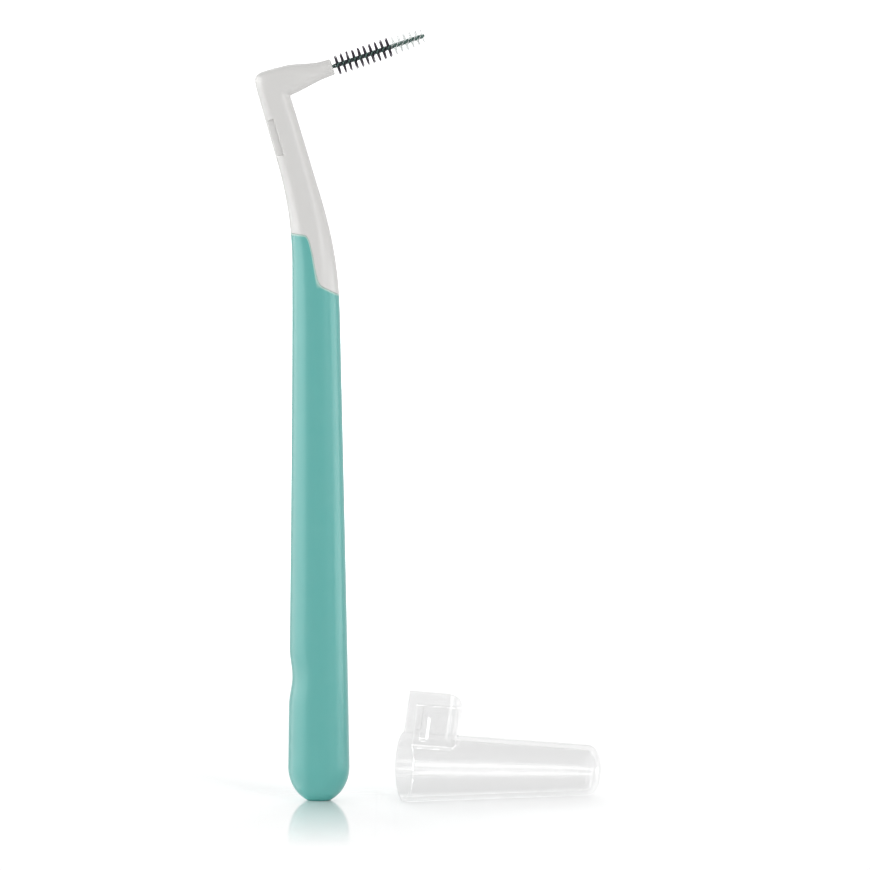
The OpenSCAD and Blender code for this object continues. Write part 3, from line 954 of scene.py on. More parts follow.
@dataclass(frozen=True, kw_only=True)
class ClearMouldingFinish(GrainedFinish):
    """Clear moulded plastic with a faint frost, which lets most light through to what is below, and
    a painted shade that greys its far side.
    """

    tint: Colour
    veil: Colour
    # the veil on the far side, greyer as painted shade
    far_shade_veil: Colour
    shadow: Colour
    grain_scale: float = 4000.0
    grain_depth: float = 0.000001
    roughness: float = 0.08
    roughness_spread: float = 0.03
    coat_roughness: float = 0.13
    bend: float = 1.05
    straight: float = 0.85
    mirror: float = 0.043
    rim_mirror: float = 0.2
    rim_power: float = 5.0
    edge_mirror: float = 0.45
    rim_start: float = 0.65

    def shader(self, nodes: Nodes, place: Socket) -> bpy.types.Node:
        """Builds the shader.

        Straight on it is mostly a plain veil, clear towards the rims and deeper where the piece's
        far_shade value h is 1, a painted shade on the cap's far side. A mirror's share
        m + rim f^5 + e edge (1 - h) lies on top, where f is 0 straight on and 1 at the rim. A
        shadow ray meets its own veil.

        Args:
            nodes: The material's nodes.
            place: The object coordinates.

        Returns:
            The finish's shader.
        """
        roughness, _, normal = self.grained(nodes, place)
        clear = nodes.add("ShaderNodeBsdfPrincipled", {
            "Base Color": self.tint, "Roughness": roughness, "IOR": self.bend,
            "Transmission Weight": 1.0, "Normal": normal})
        # far_shade is painted shade: it greys the veil towards the cap's far side and keeps the
        # edge mirror to the near side
        facing, far_shade = nodes.facing(), nodes.value("far_shade")
        rim = nodes.ramp(facing, self.rim_start, 1.0, 0.0, 1.0, "SMOOTHSTEP")
        shaded_veil = nodes.blend(rim, nodes.blend(far_shade, self.veil, self.far_shade_veil), WHITE)
        veil = nodes.add("ShaderNodeBsdfTransparent", {"Color": shaded_veil})
        mirror = nodes.maths("MULTIPLY_ADD", nodes.maths("POWER", facing, self.rim_power),
                             self.rim_mirror, self.mirror)
        edge = nodes.maths("MULTIPLY", nodes.value("edge"),
                           nodes.maths("MULTIPLY_ADD", far_shade, -1.0, 1.0))
        mirror = nodes.maths("MULTIPLY_ADD", edge, self.edge_mirror, mirror)
        gloss = nodes.add("ShaderNodeBsdfGlossy", {"Color": WHITE, "Normal": normal,
                                                   "Roughness": self.coat_roughness})
        seen = nodes.either(mirror, nodes.either(self.straight, clear, veil), gloss)
        shade = nodes.add("ShaderNodeBsdfTransparent", {"Color": self.shadow})
        ray = nodes.add("ShaderNodeLightPath")
        return nodes.either(ray.outputs["Is Shadow Ray"], seen, shade)


# The handle and neck

class Piece:
    """A sub-assembly that is one closed skin, riding on one body in the place of one node."""

    name: str
    node: str
    body = "brush"
    finish: Finish

    def surface(self) -> Surface:
        """Works out the skin."""
        raise NotImplementedError

    def make(self) -> None:
        """Builds the skin and dresses it."""
        self.finish.put_on(self.surface().to_object(self.name), self.body, self.node)


LIP_STEPS = np.array([0.0, 0.15, 0.35, 0.6, 0.85, 1.0, 1.3, 1.7, 2.2, 3.0, 4.2, 6.0])


def lip_inset(distance: np.ndarray, radius: float) -> np.ndarray:
    """How far a quarter-round lip lies below the surface at a distance from its edge."""
    inside = np.minimum(distance, radius)
    return radius - np.sqrt(np.maximum(radius ** 2 - (radius - inside) ** 2, 0.0))


@dataclass
class Grip(Piece):
    """The coloured overmould: a shell round the core, from the tail's foot to the seam."""

    name, node = "grip_skin", "grip"

    side: SideView
    finish: MouldedFinish
    wall: float = 0.0013
    core_inset: float = 0.009
    lip_radius: float = 0.00012
    lip_band: float = 0.00024
    ring_spacing: float = 0.0005
    foot_shares: tuple[float, ...] = (0.3, 0.65, 0.9)
    columns: int = 224
    tail_rings: int = 30
    seam_rings: int = 30
    inner_rings: int = 12

    def seam_heights(self, gap: np.ndarray, turn: np.ndarray) -> np.ndarray:
        """Heights that keep an even distance from the slanting seam, seam - gap * stretch.

        Args:
            gap: Distances below the seam, as (rows, 1).
            turn: Polar angles of the ring's points.

        Returns:
            The heights, as (rows, points).
        """
        place = arched(turn, self.side.handle_exponent)[0]
        return self.side.seam_z(place) - gap * self.side.seam_stretch(place)

    def lip_rings(self, gap: np.ndarray, radius: float,
                  turn: np.ndarray) -> tuple[np.ndarray, np.ndarray]:
        """Rings of a round lip beside the seam, and their heights.

        Args:
            gap: Distances below the seam, negative above it, as (rows, 1).
            radius: Radius of the lip.
            turn: Polar angles of the ring's points.

        Returns:
            The rings' points, and their heights as (rows, points).
        """
        height = self.seam_heights(gap, turn)
        inset = lip_inset(np.abs(gap), radius)
        return self.side.level(height).inset(inset).points(turn), height

    def wall_rings(self, share: np.ndarray, turn: np.ndarray) -> np.ndarray:
        """Rings of the wall between grip and core, from the core's end, 0, to the seam, 1.

        Args:
            share: How far each ring lies from the core's end to the seam.
            turn: Polar angles of the ring's points.

        Returns:
            The rings' points.
        """
        seam = self.seam_heights(np.zeros((1, 1)), turn)
        height = mix(self.core_inset, seam, share[:, None])
        return self.side.level(height).inset(self.wall).points(turn)

    def surface(self) -> Surface:
        """The closed skin: foot, tail, shaft, round lip at the seam, and wall round the core.

        Returns:
            The skin, its lip value 1 on the lip and 0 away from it.
        """
        side, turn = self.side, circle(self.columns)
        arc = np.linspace(side.foot_angle, np.pi / 2.0, self.tail_rings)
        tail = side.tail_len * (math.cos(side.foot_angle) - np.cos(arc))
        steps = int((side.seam_low - side.tail_top) / self.ring_spacing)
        shaft = np.linspace(side.tail_top, side.seam_low, steps)[1:]
        level = side.level(np.concatenate([tail, shaft])[:, None]).points(turn)
        foot = level[:1] * [1.0, 1.0, 0.0] * np.array(self.foot_shares)[:, None, None]
        gaps = (self.lip_radius * LIP_STEPS[::-1])[:, None]
        lip, heights = self.lip_rings(gaps, self.lip_radius, turn)
        rise = side.between(side.seam_low, heights[:1], self.seam_rings, turn)
        inner = self.wall_rings(np.linspace(1.0, 0.0, self.inner_rings), turn)
        rings = np.concatenate([foot, level, rise, lip, inner])
        pale = np.zeros(rings.shape[:2])
        start = len(foot) + len(level) + len(rise)
        pale[start:start + len(lip)] = 1.0 - smooth((gaps - self.lip_band / 2.0) / self.lip_band)
        return Surface.from_rings(rings, "lip", pale)


@dataclass
class NeckMoulding(Piece):
    """The white moulding: core, neck with its snap recesses, elbow, arm and bore for the wire."""

    name, node = "neck_moulding", "neck_and_core"

    grip: Grip
    twist: Twist
    finish: MouldedFinish
    snap_start: float = 0.005
    snap_len: float = 0.0054
    snap_w: float = 0.0013
    snap_depth: float = 0.0005
    snap_edge: float = 0.00012
    seam_radius: float = 0.00008
    tip_radius: float = 0.00022
    bore_play: float = 0.00004
    bore_rim: float = 0.00006
    bore_ring: float = 0.001
    columns: int = 224
    core_rings: int = 8
    seam_rings: int = 24
    neck_spacing: float = 0.0003
    recess_spacing: float = 0.00005
    elbow_rings: int = 48
    arm_rings: int = 44
    tip_rings: int = 7

    def neck_heights(self) -> np.ndarray:
        """Heights of the neck's level rings, close together over the recesses.

        Returns:
            The heights, growing.
        """
        side = self.grip.side
        lean = math.cos(side.neck_lean)
        low = side.elbow_z - (self.snap_start + self.snap_len + self.snap_w) * lean
        high = side.elbow_z - (self.snap_start - self.snap_w) * lean
        return np.concatenate([np.arange(side.seam_high, low, self.neck_spacing),
                               np.arange(low, high, self.recess_spacing),
                               np.arange(high, side.pivot[1], self.neck_spacing)])

    def recessed(self, points: np.ndarray) -> np.ndarray:
        """The points, those on the neck's sides drawn in where the hood's ridges snap in.

        In the neck's leaning axes the recess is a box. A point keeps at most the depth
        neck_t / 2 - snap_depth * s, where s is the product of three smooth steps over its edges.

        Args:
            points: Points of the neck, as (..., 3).

        Returns:
            The points, their Y kept within the limit.
        """
        side = self.grip.side
        x = points[..., 0] - (side.elbow_mid[0] - side.elbow_half_w)
        across, up = turned(x, points[..., 2] - side.elbow_z, -math.atan(side.back_slope))
        depth = np.ones_like(x)
        for inward in (self.snap_w - across, -up - self.snap_start,
                       self.snap_start + self.snap_len + up):
            depth = depth * smooth(inward / self.snap_edge + 0.5)
        limit = side.neck_t / 2.0 - self.snap_depth * depth
        y = np.where(depth > 0.0, np.clip(points[..., 1], -limit, limit), points[..., 1])
        return np.stack([points[..., 0], y, points[..., 2]], axis=-1)

    def tip_and_bore(self, turn: np.ndarray) -> np.ndarray:
        """Rings round the arm's rounded tip, over its face and down the bore to its end.

        Args:
            turn: Polar angles of the ring's points.

        Returns:
            The rings' points, in the frame.
        """
        side, r, hold = self.grip.side, self.tip_radius, self.twist.hold
        bore = self.twist.offset(self.twist.clear_start) + self.twist.strand_r + self.bore_play
        arc = np.linspace(0.0, np.pi / 2.0, self.tip_rings)[1:]
        radius = np.concatenate([side.arm_tip_d / 2.0 - r + r * np.cos(arc),
                                 [bore + self.bore_rim, bore, bore, bore, bore]])
        back = np.concatenate([r - r * np.sin(arc),
                               [0.0, self.bore_rim, self.bore_ring, hold, hold + bore]])
        ring = np.stack([np.broadcast_to(side.arm_len - back[:, None], (len(back), len(turn))),
                         radius[:, None] * np.sin(turn), -radius[:, None] * np.cos(turn)], axis=-1)
        return side.from_arm(ring)

    def surface(self) -> Surface:
        """The closed skin, from the end of the core to the end of the wire's bore.

        Returns:
            The skin, its lip value 0 all over.
        """
        grip, side, turn = self.grip, self.grip.side, circle(self.columns)
        core = grip.wall_rings(np.linspace(0.0, 1.0, self.core_rings), turn)
        gaps = -(self.seam_radius * LIP_STEPS)[:, None]
        rim, heights = grip.lip_rings(gaps, self.seam_radius, turn)
        rise = side.between(heights[-1:], side.seam_high, self.seam_rings, turn)
        neck = self.recessed(side.level(self.neck_heights()[:, None]).points(turn))
        swing = np.linspace(np.pi, np.pi / 2.0 + side.arm_rise, self.elbow_rings, endpoint=False)
        elbow = side.elbow(swing[:, None]).points(turn)
        run = np.linspace(side.pivot_run, side.arm_len - self.tip_radius, self.arm_rings)
        arm = side.arm(run[:, None]).points(turn)
        rings = np.concatenate([core, rim, rise, neck, elbow, arm, self.tip_and_bore(turn)])
        return Surface.from_rings(rings, "lip", np.zeros(rings.shape[:2]))


# The wire and its filaments

@dataclass
class TwistedWire(Piece):
    """One coated strand, folded like a hairpin and twisted."""

    name, node = "twisted_wire", "wire"

    twist: Twist
    finish: CoatedWireFinish
    sides: int = 18
    rings_per_turn: int = 44
    fold_rings: int = 16
    cut_round: float = 0.00003
    cut_rings: int = 4
    cut_centre_share: float = 0.5

    def tube_rings(self, centre: np.ndarray, out: np.ndarray, aside: np.ndarray,
                   radius: np.ndarray) -> np.ndarray:
        """Rings of points at a radius round centres, in the directions out and aside.

        Args:
            centre: The rings' centres, as (rings, 3).
            out: One direction across the strand, as (rings, 3).
            aside: The direction across it that is square to out.
            radius: Radius of each ring.

        Returns:
            The rings' points.
        """
        turn = circle(self.sides)[:, None]
        ray = np.cos(turn) * out[:, None, :] - np.sin(turn) * aside[:, None, :]
        return centre[:, None, :] + radius[:, None, None] * ray

    def leg(self, x: np.ndarray, which: float, radius: np.ndarray) -> np.ndarray:
        """Rings of one leg, square to its helix (x, r cos a, r sin a).

        Args:
            x: Places along the arm's axis.
            which: +1 for one leg and -1 for the other.
            radius: Radius of each ring.

        Returns:
            The rings' points.
        """
        a = self.twist.angle(x)
        out, aside = which * spoke(a), rimward(a)
        aside[:, 0] = -which * self.twist.slope(x)
        aside /= np.linalg.norm(aside, axis=-1, keepdims=True)
        centre = self.twist.offset(x)[:, None] * out
        centre[:, 0] += x
        return self.tube_rings(centre, out, aside, radius)

    def surface(self) -> Surface:
        """The closed skin: up one leg, round the fold inside the arm, and along the other.

        Returns:
            The skin, its cut value 1 where the wire is cut.
        """
        twist = self.twist
        count = int((twist.end - twist.start) / twist.pitch * self.rings_per_turn)
        arc = np.linspace(0.0, np.pi / 2.0, self.cut_rings)[1:]
        cut_r = twist.strand_r - self.cut_round * (1.0 - np.cos(arc))
        x = np.concatenate([np.linspace(twist.start, twist.end, count),
                            twist.end + self.cut_round * np.append(np.sin(arc), 1.0)])
        r = np.concatenate([np.full(count, twist.strand_r), cut_r,
                            cut_r[-1:] * self.cut_centre_share])
        swing = np.linspace(0.0, np.pi, self.fold_rings)[1:-1, None]
        out = np.cos(swing) * spoke(twist.first_angle) - np.sin(swing) * ALONG_X
        aside = np.broadcast_to(rimward(twist.first_angle), out.shape)
        centre = twist.start * ALONG_X + twist.offset(twist.start) * out
        fold = self.tube_rings(centre, out, aside, np.full(len(out), twist.strand_r))
        rings = np.concatenate([self.leg(x[::-1], 1.0, r[::-1]), fold, self.leg(x, -1.0, r)])
        cut = np.zeros(rings.shape[:2])
        cut[:2] = cut[-2:] = 1.0
        return Surface.from_rings(rings, "cut", cut).moved(twist.side.from_arm)


@dataclass
class Filaments(Piece):
    """A run of filaments, each pinched at its middle by the wire and standing out on both sides."""

    name: str
    node: str
    twist: Twist
    finish: FilamentFinish
    start: float
    length: float
    seed: int
    brush_d: float = 0.0031
    tip_d: float = 0.0024
    per_turn: float = 90.0
    sides: int = 5
    rings: int = 11
    trim_share: float = 0.18
    lean_spread: float = 0.04
    turn_spread: float = 0.08
    drawn: float = 0.5
    gathered: float = 0.8
    root_spread: float = 0.000012
    least_round: float = 0.03

    def surface(self) -> Surface:
        """The filaments' closed skins.

        Filament k crosses the axis at x_k in the plane between the two legs, at the angle b, the
        legs' own + 90 degrees, which is d past the nearest quarter turn. Its centre at the share s
        of its reach is (x_k + (lean + drawn d pitch / 2 pi) s^2, s R cos a, s R sin a) with
        a = b + (turn - gathered d) (1 - (1 - s)^3), so that the filaments of each quarter turn
        draw together in a tuft. Its thickness eases to a round tip, as the root of 1 - s^8.

        Returns:
            The skins, their reach value 0 at the wire and 1 at the tips.
        """
        random = np.random.default_rng(self.seed)
        twist, quarter = self.twist, np.pi / 2.0
        count = int(self.length / twist.pitch * self.per_turn)
        x = self.start + (np.arange(count) + 0.5) * (self.length / count)
        trim = clamp((x - twist.clear_start) / twist.clear_len) ** 2
        side = random.normal(size=(count, 2))
        reach = mix(self.brush_d, self.tip_d, trim)[:, None] / 2.0
        reach = reach * (1.0 - self.trim_share * random.random((count, 2)))
        lean = self.lean_spread * side * reach
        swerve = self.turn_spread * random.normal(size=(count, 2))
        root = self.root_spread * random.normal(size=count)

        s = np.sin(np.linspace(-quarter, quarter, self.rings))
        half, far = (s > 0.0).astype(int), np.abs(s)[None, :]
        b = twist.angle(x)[:, None] + quarter
        past = (b + quarter / 2.0) % quarter - quarter / 2.0
        a = b + (swerve[:, half] - self.gathered * past) * (1.0 - (1.0 - far) ** 3)
        drawn = self.drawn * past * twist.pitch / (2.0 * np.pi)
        normal = rimward(a)
        centre = spoke(a) * (s[None, :] * reach[:, half])[..., None]
        centre[..., 0] += x[:, None] + (lean[:, half] + drawn) * far ** 2
        centre += normal * root[:, None, None] * (1.0 - far[..., None])
        width = np.sqrt(np.clip(1.0 - far ** 8, self.least_round, 1.0))[..., None, None]
        turn = circle(self.sides)[:, None]
        ring = np.cos(turn) * ALONG_X + np.sin(turn) * normal[..., None, :]
        points = centre[..., None, :] + twist.filament_t / 2.0 * width * ring

        base = np.arange(self.rings * self.sides).reshape(self.rings, self.sides)
        after = np.roll(base, -1, axis=1)
        quad = np.stack([base[:-1], base[1:], after[1:], after[:-1]], axis=-1).reshape(-1, 4)
        fan, (first, last) = np.arange(1, self.sides - 1), base[[0, -1]]
        ends = np.stack([[np.full_like(fan, first[0]), first[fan], first[fan + 1]],
                         [np.full_like(fan, last[0]), last[fan + 1], last[fan]]])
        caps = np.moveaxis(ends, 1, -1).reshape(-1, 3)
        shift = (np.arange(count) * base.size)[:, None, None]
        reached = np.broadcast_to(far[..., None], points.shape[:-1])
        skin = Surface(points.reshape(-1, 3), (quad + shift).reshape(-1, 4),
                       (caps + shift).reshape(-1, 3), {"reach": reached.ravel()})
        return skin.moved(twist.side.from_arm)


# The cap

@dataclass
class TravelCap(Piece):
    """The clear cap: a tapered tube with a round closed end, and the hood that takes the neck."""

    name, node, body = "clear_cap", "cap", "cap"

    neck: NeckMoulding
    finish: ClearMouldingFinish
    mouth_d: float = 0.01035
    end_d: float = 0.0073
    wall: float = 0.00075
    spare: float = 0.0017
    end_round: float = 0.0015
    hood_wall: float = 0.00055
    hood_play: float = 0.00015
    hood_inset: float = 0.0011
    hood_spare: float = 0.0006
    hood_lip: float = 0.0006
    hood_round: float = 0.0017
    hood_slant: float = math.radians(3.7)
    ridge_len: float = 0.0038
    ridge_gap: float = 0.0001
    ridge_round_share: float = 0.35
    place_x: float = 0.0124
    place_y: float = -0.0022
    yaw: float = math.radians(15.0)
    roll: float = math.radians(17.0)
    edge_radius: float = 0.00014
    join_radius: float = 0.00025
    fine: float = 0.00015
    coarse: float = 0.0006
    probe: float = 0.00008
    soft_bend: float = 1500.0
    edge_bend: float = 4500.0
    # how far the painted shade of the far side takes to rise
    far_shade_run: float = 0.001

    def __post_init__(self) -> None:
        """Works out the lengths that follow the brush."""
        neck, side = self.neck, self.neck.grip.side
        covered = self.hood_inset + side.elbow_half_w + neck.twist.end
        self.length = covered + self.spare + self.wall
        self.half_angle = math.atan((self.mouth_d - self.end_d) / 2.0 / self.length)
        self.hood_reach = neck.snap_start + neck.snap_len + self.hood_lip
        self.channel_w = side.neck_t + 2.0 * self.hood_play
        taper = self.hood_reach * math.tan(side.neck_taper)
        self.channel_len = self.hood_inset + side.neck_w + taper + self.hood_spare

    def tapered(self, points: np.ndarray, mouth_r: float, length: float,
                end_round: float) -> np.ndarray:
        """Signed distance to a tapered round rod with a rounded end, open below the mouth.

        Args:
            points: Points as (..., 3).
            mouth_r: Radius at the mouth.
            length: Length of the rod.
            end_round: Radius of the rounded edge at its end.

        Returns:
            The distances, negative inside.
        """
        radial, z = np.hypot(points[..., 0], points[..., 1]), points[..., 2]
        cone = (radial - mouth_r + z * math.tan(self.half_angle)) * math.cos(self.half_angle)
        return rounded_both(cone, z - length, end_round)

    def channel(self, points: np.ndarray, width: float, length: float,
                radius: float) -> np.ndarray:
        """Signed distance to a bar towards -X whose section is a rectangle with round corners."""
        aside = np.abs(points[..., 1]) - width / 2.0
        return np.maximum(rounded_both(aside, points[..., 2] - length, radius), points[..., 0])

    def ridge(self, points: np.ndarray) -> np.ndarray:
        """Signed distance to the two ridges that snap into the neck's recesses.

        Args:
            points: Points as (..., 3).

        Returns:
            The distances, negative inside.
        """
        neck, half_len = self.neck, self.ridge_len / 2.0
        start, width = neck.snap_start + self.ridge_gap, neck.snap_w - self.ridge_gap
        half_gap = neck.grip.side.neck_t / 2.0 - neck.snap_depth + self.ridge_gap
        along = np.abs(points[..., 0] + start + half_len) - half_len
        across = np.abs(points[..., 2] - (self.hood_inset + width / 2.0)) - width / 2.0
        y = np.abs(points[..., 1])
        inward = np.maximum(half_gap - y, y - (self.channel_w + self.hood_wall) / 2.0)
        corner = rounded_both(along, across, width * self.ridge_round_share)
        return rounded_both(corner, inward, self.edge_radius)

    def distance(self, points: np.ndarray) -> np.ndarray:
        """Signed distance to the worn cap, its mouth at the origin and its hood towards -X.

        Args:
            points: Points as (..., 3).

        Returns:
            The distances, negative inside.
        """
        mouth_r, wall, z = self.mouth_d / 2.0, self.wall, points[..., 2]
        tube = self.tapered(points, mouth_r, self.length, self.end_round)
        bore = self.tapered(points, mouth_r - wall, self.length - wall,
                            self.end_round - wall / 2.0)
        hood = self.channel(points, self.channel_w + 2.0 * self.hood_wall,
                            self.channel_len + self.hood_wall, self.hood_round)
        slot = self.channel(points, self.channel_w, self.channel_len,
                            self.hood_round - self.hood_wall)
        slant = z * math.tan(self.hood_slant) - points[..., 0] - self.hood_reach
        hood = np.maximum(hood, slant * math.cos(self.hood_slant))
        outside = np.maximum(rounded_either(tube, hood, self.join_radius), -z)
        shell = rounded_both(outside, -np.minimum(bore, slot), self.edge_radius)
        return rounded_either(shell, self.ridge(points), self.edge_radius / 2.0)

    def laid(self, points: np.ndarray) -> np.ndarray:
        """Takes points from the worn cap to where it lies on the table, on its own cone.

        Args:
            points: Points of the worn cap, as (..., 3).

        Returns:
            The same points where the cap lies.
        """
        x, y, z = np.moveaxis(points, -1, 0)
        x, y = turned(x, y, self.roll)
        x, z = turned(x, z, -(math.pi / 2.0 + self.half_angle))
        x, y = turned(x, y, self.yaw)
        rest = self.mouth_d / 2.0 * math.cos(self.half_angle)
        return np.stack([x + self.place_x, y + self.place_y, z + rest], axis=-1)

    def surface(self) -> Surface:
        """The closed skin, on a grid that is fine at the hood and the end and long between them.

        Its edge value comes from the distance's Laplacian, the sum of the two curvatures, and its
        far_shade value, a painted shade, grows from the cap's near side to its far side.

        Returns:
            The skin, with its edge and haze values.
        """
        fine, margin = self.fine, 2.0 * self.fine
        hood_end = self.channel_len + self.hood_wall + margin
        end_start = self.length - self.end_round - margin
        near = np.arange(-margin, hood_end, fine)
        middle = np.linspace(near[-1] + fine, end_start, int((end_start - hood_end) / self.coarse))
        far = np.arange(end_start + fine, self.length + 2.0 * margin, fine)
        radius = self.mouth_d / 2.0 + margin
        skin = implicit_surface([np.arange(-self.hood_reach - margin, radius, fine),
                                 np.arange(-radius, radius, fine),
                                 np.concatenate([near, middle, far])], self.distance)
        steps = self.probe * np.vstack([np.eye(3), -np.eye(3)])
        around = sum(self.distance(skin.points + step) for step in steps)
        bend = np.abs(around - len(steps) * self.distance(skin.points)) / self.probe ** 2
        edge = (bend - self.soft_bend) / (self.edge_bend - self.soft_bend)
        # far_shade: painted shade, 0 on the cap's near side and 1 on its far side
        skin.values = {"edge": smooth(edge),
                       "far_shade": smooth(0.5 + skin.points[:, 1] / self.far_shade_run)}
        return skin.moved(self.laid)


# The stage

@dataclass(frozen=True)
class Lamp:
    """A soft box or a white card that faces the object.

    glow says how bright it looks, 1 as a white background, in_matt whether it lights matt
    surfaces, which a card hardly does, and in_gloss whether it shows in glossy ones.
    """

    name: str
    place: tuple[float, float, float]
    size: tuple[float, float]
    glow: float
    in_matt: bool = True
    in_gloss: bool = True

    def make(self, target: tuple[float, float, float]) -> None:
        """Stands the lamp in its place, turned to the target.

        Args:
            target: The place that it faces.
        """
        data = bpy.data.lights.new(self.name, "AREA")
        data.shape = "RECTANGLE"
        data.size, data.size_y = width, height = self.size
        data.energy = self.glow * math.pi * width * height
        box = linked(self.name, data)
        away = np.array(target) - np.array(self.place)
        away /= np.linalg.norm(away)
        box.location = self.place
        box.visible_diffuse = box.visible_transmission = self.in_matt
        box.visible_glossy = self.in_gloss
        heading = math.atan2(away[1], away[0]) - math.pi / 2.0
        box.rotation_euler = (math.acos(-away[2]), 0.0, heading)


LAMPS = (
    Lamp("front_box", (0.4, -0.6, 0.39), (0.25, 0.5), 4.0, in_gloss=False),
    Lamp("back_box", (0.0, 0.65, 0.35), (0.8, 0.4), 3.0, in_gloss=False),
    Lamp("left_fill", (-0.38, -0.06, 0.1), (0.7, 0.6), 0.5, in_gloss=False),
    Lamp("left_card", (-0.38, -0.08, 0.1), (0.75, 0.6), 3.8, in_matt=False),
    Lamp("right_card", (0.45, -0.1, 0.03), (0.4, 0.08), 5.0, in_matt=False),
    Lamp("front_card", (0.277, -0.431, 0.115), (0.2, 0.11), 2.8, in_matt=False))


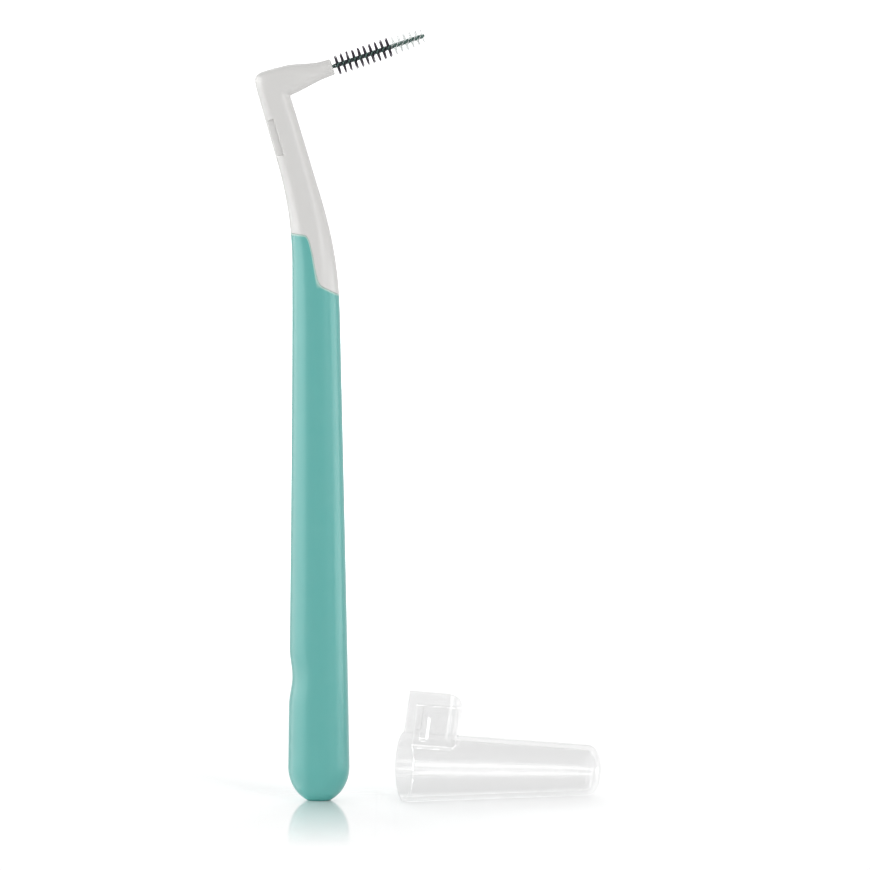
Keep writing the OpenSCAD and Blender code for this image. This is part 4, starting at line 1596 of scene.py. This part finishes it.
@dataclass
class Stage:
    """A white floor and world, soft lamps, and a long lens nearly level with the brush."""

    centre_x: float = 0.01689
    centre_up: float = 0.05307
    frame_w: float = 0.12615
    elevation: float = math.radians(6.0)
    lens: float = 500.0
    sight: float = 100.0
    floor_half: float = 3.0
    floor_drop: float = 0.00002
    ambient: float = 0.6
    floor_colour: Colour = (0.86, 0.86, 0.86, 1.0)
    floor_lift: float = 0.22
    lift_start: float = 0.12
    lift_end: float = 0.4
    shine: float = 0.54
    shine_run: float = 0.05
    shine_power: float = 1.5
    shine_half_w: float = 0.012
    shine_side_share: float = 0.7
    shine_roughness: float = 0.08
    gleam: float = 0.9

    def camera(self) -> None:
        """Creates the camera, level with the photograph's line of sight."""
        data = bpy.data.cameras.new("long_lens")
        data.lens = self.lens
        data.clip_end = self.sight
        eye = linked("long_lens", data)
        away = self.lens / data.sensor_width * self.frame_w
        up = self.centre_up / math.cos(self.elevation) + away * math.sin(self.elevation)
        eye.location = (self.centre_x, -away * math.cos(self.elevation), up)
        eye.rotation_euler = (math.pi / 2.0 - self.elevation, 0.0, 0.0)
        bpy.context.scene.camera = eye

    def seen(self, nodes: Nodes) -> Socket:
        """1 for a ray that sees the background as it is: the camera's, off gloss, through glass.

        A ray that has met a matt surface before doesn't, so that the background lights nothing.

        Args:
            nodes: Nodes of the material or world that asks.

        Returns:
            The number, 0 or 1.
        """
        ray = nodes.add("ShaderNodeLightPath").outputs
        seen = nodes.maths("MAXIMUM", ray["Is Camera Ray"], ray["Is Transmission Ray"])
        seen = nodes.maths("MAXIMUM", seen, ray["Is Glossy Ray"])
        return nodes.maths("MULTIPLY", seen, nodes.maths("LESS_THAN", ray["Diffuse Depth"], 0.5))

    def world(self) -> None:
        """A soft even light, seen as plain white by the camera and in gloss and glass."""
        world = bpy.data.worlds.new("white_room")
        nodes = Nodes.emptied(world)
        strength = nodes.maths("MULTIPLY_ADD", self.seen(nodes), 1.0 - self.ambient, self.ambient)
        light = nodes.add("ShaderNodeBackground", {"Color": WHITE, "Strength": strength})
        nodes.add("ShaderNodeOutputWorld", {"Surface": light})
        bpy.context.scene.world = world

    def floor_shader(self, nodes: Nodes) -> bpy.types.Node:
        """A matt white that lifts to plain white far off, under a reflection near the foot.

        Gloss on the object shows the floor as a polished table, with the lamps and cards in it.

        Args:
            nodes: The material's nodes.

        Returns:
            The floor's shader.
        """
        point = nodes.add("ShaderNodeTexCoord").outputs["Object"]
        place = nodes.add("ShaderNodeSeparateXYZ", {0: point}).outputs
        ahead = nodes.maths("MULTIPLY", place["Y"], -1.0)
        run = nodes.maths("POWER", nodes.ramp(ahead, 0.0, self.shine_run, 0.0, 1.0),
                          self.shine_power)
        half_w = self.shine_half_w
        front = nodes.ramp(ahead, -half_w, -half_w / 2.0, 0.0, 1.0)
        sides = nodes.ramp(nodes.maths("ABSOLUTE", place["X"]), half_w * self.shine_side_share,
                           half_w, 1.0, 0.0)
        mask = nodes.maths("MULTIPLY", nodes.maths("SUBTRACT", 1.0, run), front)
        mask = nodes.maths("MULTIPLY", mask, nodes.maths("MULTIPLY", sides, self.shine))
        matt = nodes.add("ShaderNodeBsdfDiffuse", {"Color": self.floor_colour})
        away = nodes.add("ShaderNodeVectorMath", {0: point}, operation="LENGTH").outputs["Value"]
        level = nodes.ramp(away, self.lift_start, self.lift_end, self.floor_lift, 1.0)
        lift = nodes.add("ShaderNodeEmission", {
            "Color": WHITE, "Strength": nodes.maths("MULTIPLY", self.seen(nodes), level)})
        white = nodes.add("ShaderNodeAddShader", {0: matt, 1: lift})
        shine = nodes.add("ShaderNodeBsdfGlossy", {"Color": WHITE,
                                                   "Roughness": self.shine_roughness})
        ray = nodes.add("ShaderNodeLightPath").outputs
        in_gloss = nodes.maths("MULTIPLY", ray["Is Glossy Ray"], self.gleam)
        return nodes.either(nodes.maths("MAXIMUM", mask, in_gloss), white, shine)

    def floor(self) -> None:
        """A white floor that keeps soft shadows and, near the foot, a faint reflection."""
        h, low = self.floor_half, -self.floor_drop
        corners = np.array([[-h, -h, low], [h, -h, low], [h, h, low], [-h, h, low]])
        floor = Surface(corners, np.array([[0, 1, 2, 3]])).to_object("white_floor")
        material = bpy.data.materials.new("white_floor")
        nodes = Nodes.emptied(material)
        nodes.add("ShaderNodeOutputMaterial", {"Surface": self.floor_shader(nodes)})
        floor.data.materials.append(material)

    def make(self) -> None:
        """Sets the stage."""
        bpy.context.scene.view_settings.view_transform = "Standard"
        self.camera()
        self.world()
        self.floor()
        for lamp in LAMPS:
            lamp.make((self.centre_x, 0.0, self.centre_up))


def main() -> None:
    """Loads the frame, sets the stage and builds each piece."""
    logging.basicConfig(level=logging.INFO, format="%(message)s")
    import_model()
    Stage().make()

    grain = moulded_grain_group()
    mint = MouldedFinish(name="mint_grip", slot=Slot.GRIP, grain=grain,
                         colour=rgba(92, 177, 171), pale=rgba(180, 210, 201))
    white = MouldedFinish(name="white_moulding", slot=Slot.NECK, grain=grain, glow_depth=0.001,
                          gloss=1.6, colour=rgba(216, 215, 213), pale=rgba(220, 219, 217))
    coat = CoatedWireFinish(name="coated_wire", slot=Slot.WIRE, grain=grain,
                            coat_colour=rgba(56, 88, 81), steel=rgba(200, 200, 198))
    # dark root near-black: painted shade where the filaments crowd at the wire
    dark = FilamentFinish(name="dark_filament", slot=Slot.DARK, root=rgba(18, 24, 28),
                          tip=rgba(86, 76, 90))
    # clear root faintly mint: a painted reflection of the green wire
    clear = FilamentFinish(name="clear_filament", slot=Slot.CLEAR, root=rgba(238, 248, 244),
                           tip=rgba(244, 245, 246), cover=0.12, rim_cover=0.95, roughness=0.25)
    glass = ClearMouldingFinish(name="clear_moulding", slot=Slot.CAP, grain=grain,
                                tint=rgba(247, 247, 247), veil=rgba(252, 252, 252),
                                far_shade_veil=rgba(241, 241, 241), shadow=rgba(205, 205, 205))

    side = SideView()
    twist = Twist(side)
    grip = Grip(side, mint)
    neck = NeckMoulding(grip, twist, white)
    for piece in (
            grip, neck, TwistedWire(twist, coat),
            Filaments("dark_filaments", "dark_bristles", twist, dark, twist.dark_start,
                      twist.dark_len, seed=SEED),
            Filaments("clear_filaments", "clear_bristles", twist, clear, twist.clear_start,
                      twist.clear_len, seed=SEED + 1, gathered=0.55),
            TravelCap(neck, glass)):
        piece.make()


if __name__ == "__main__":
    main()
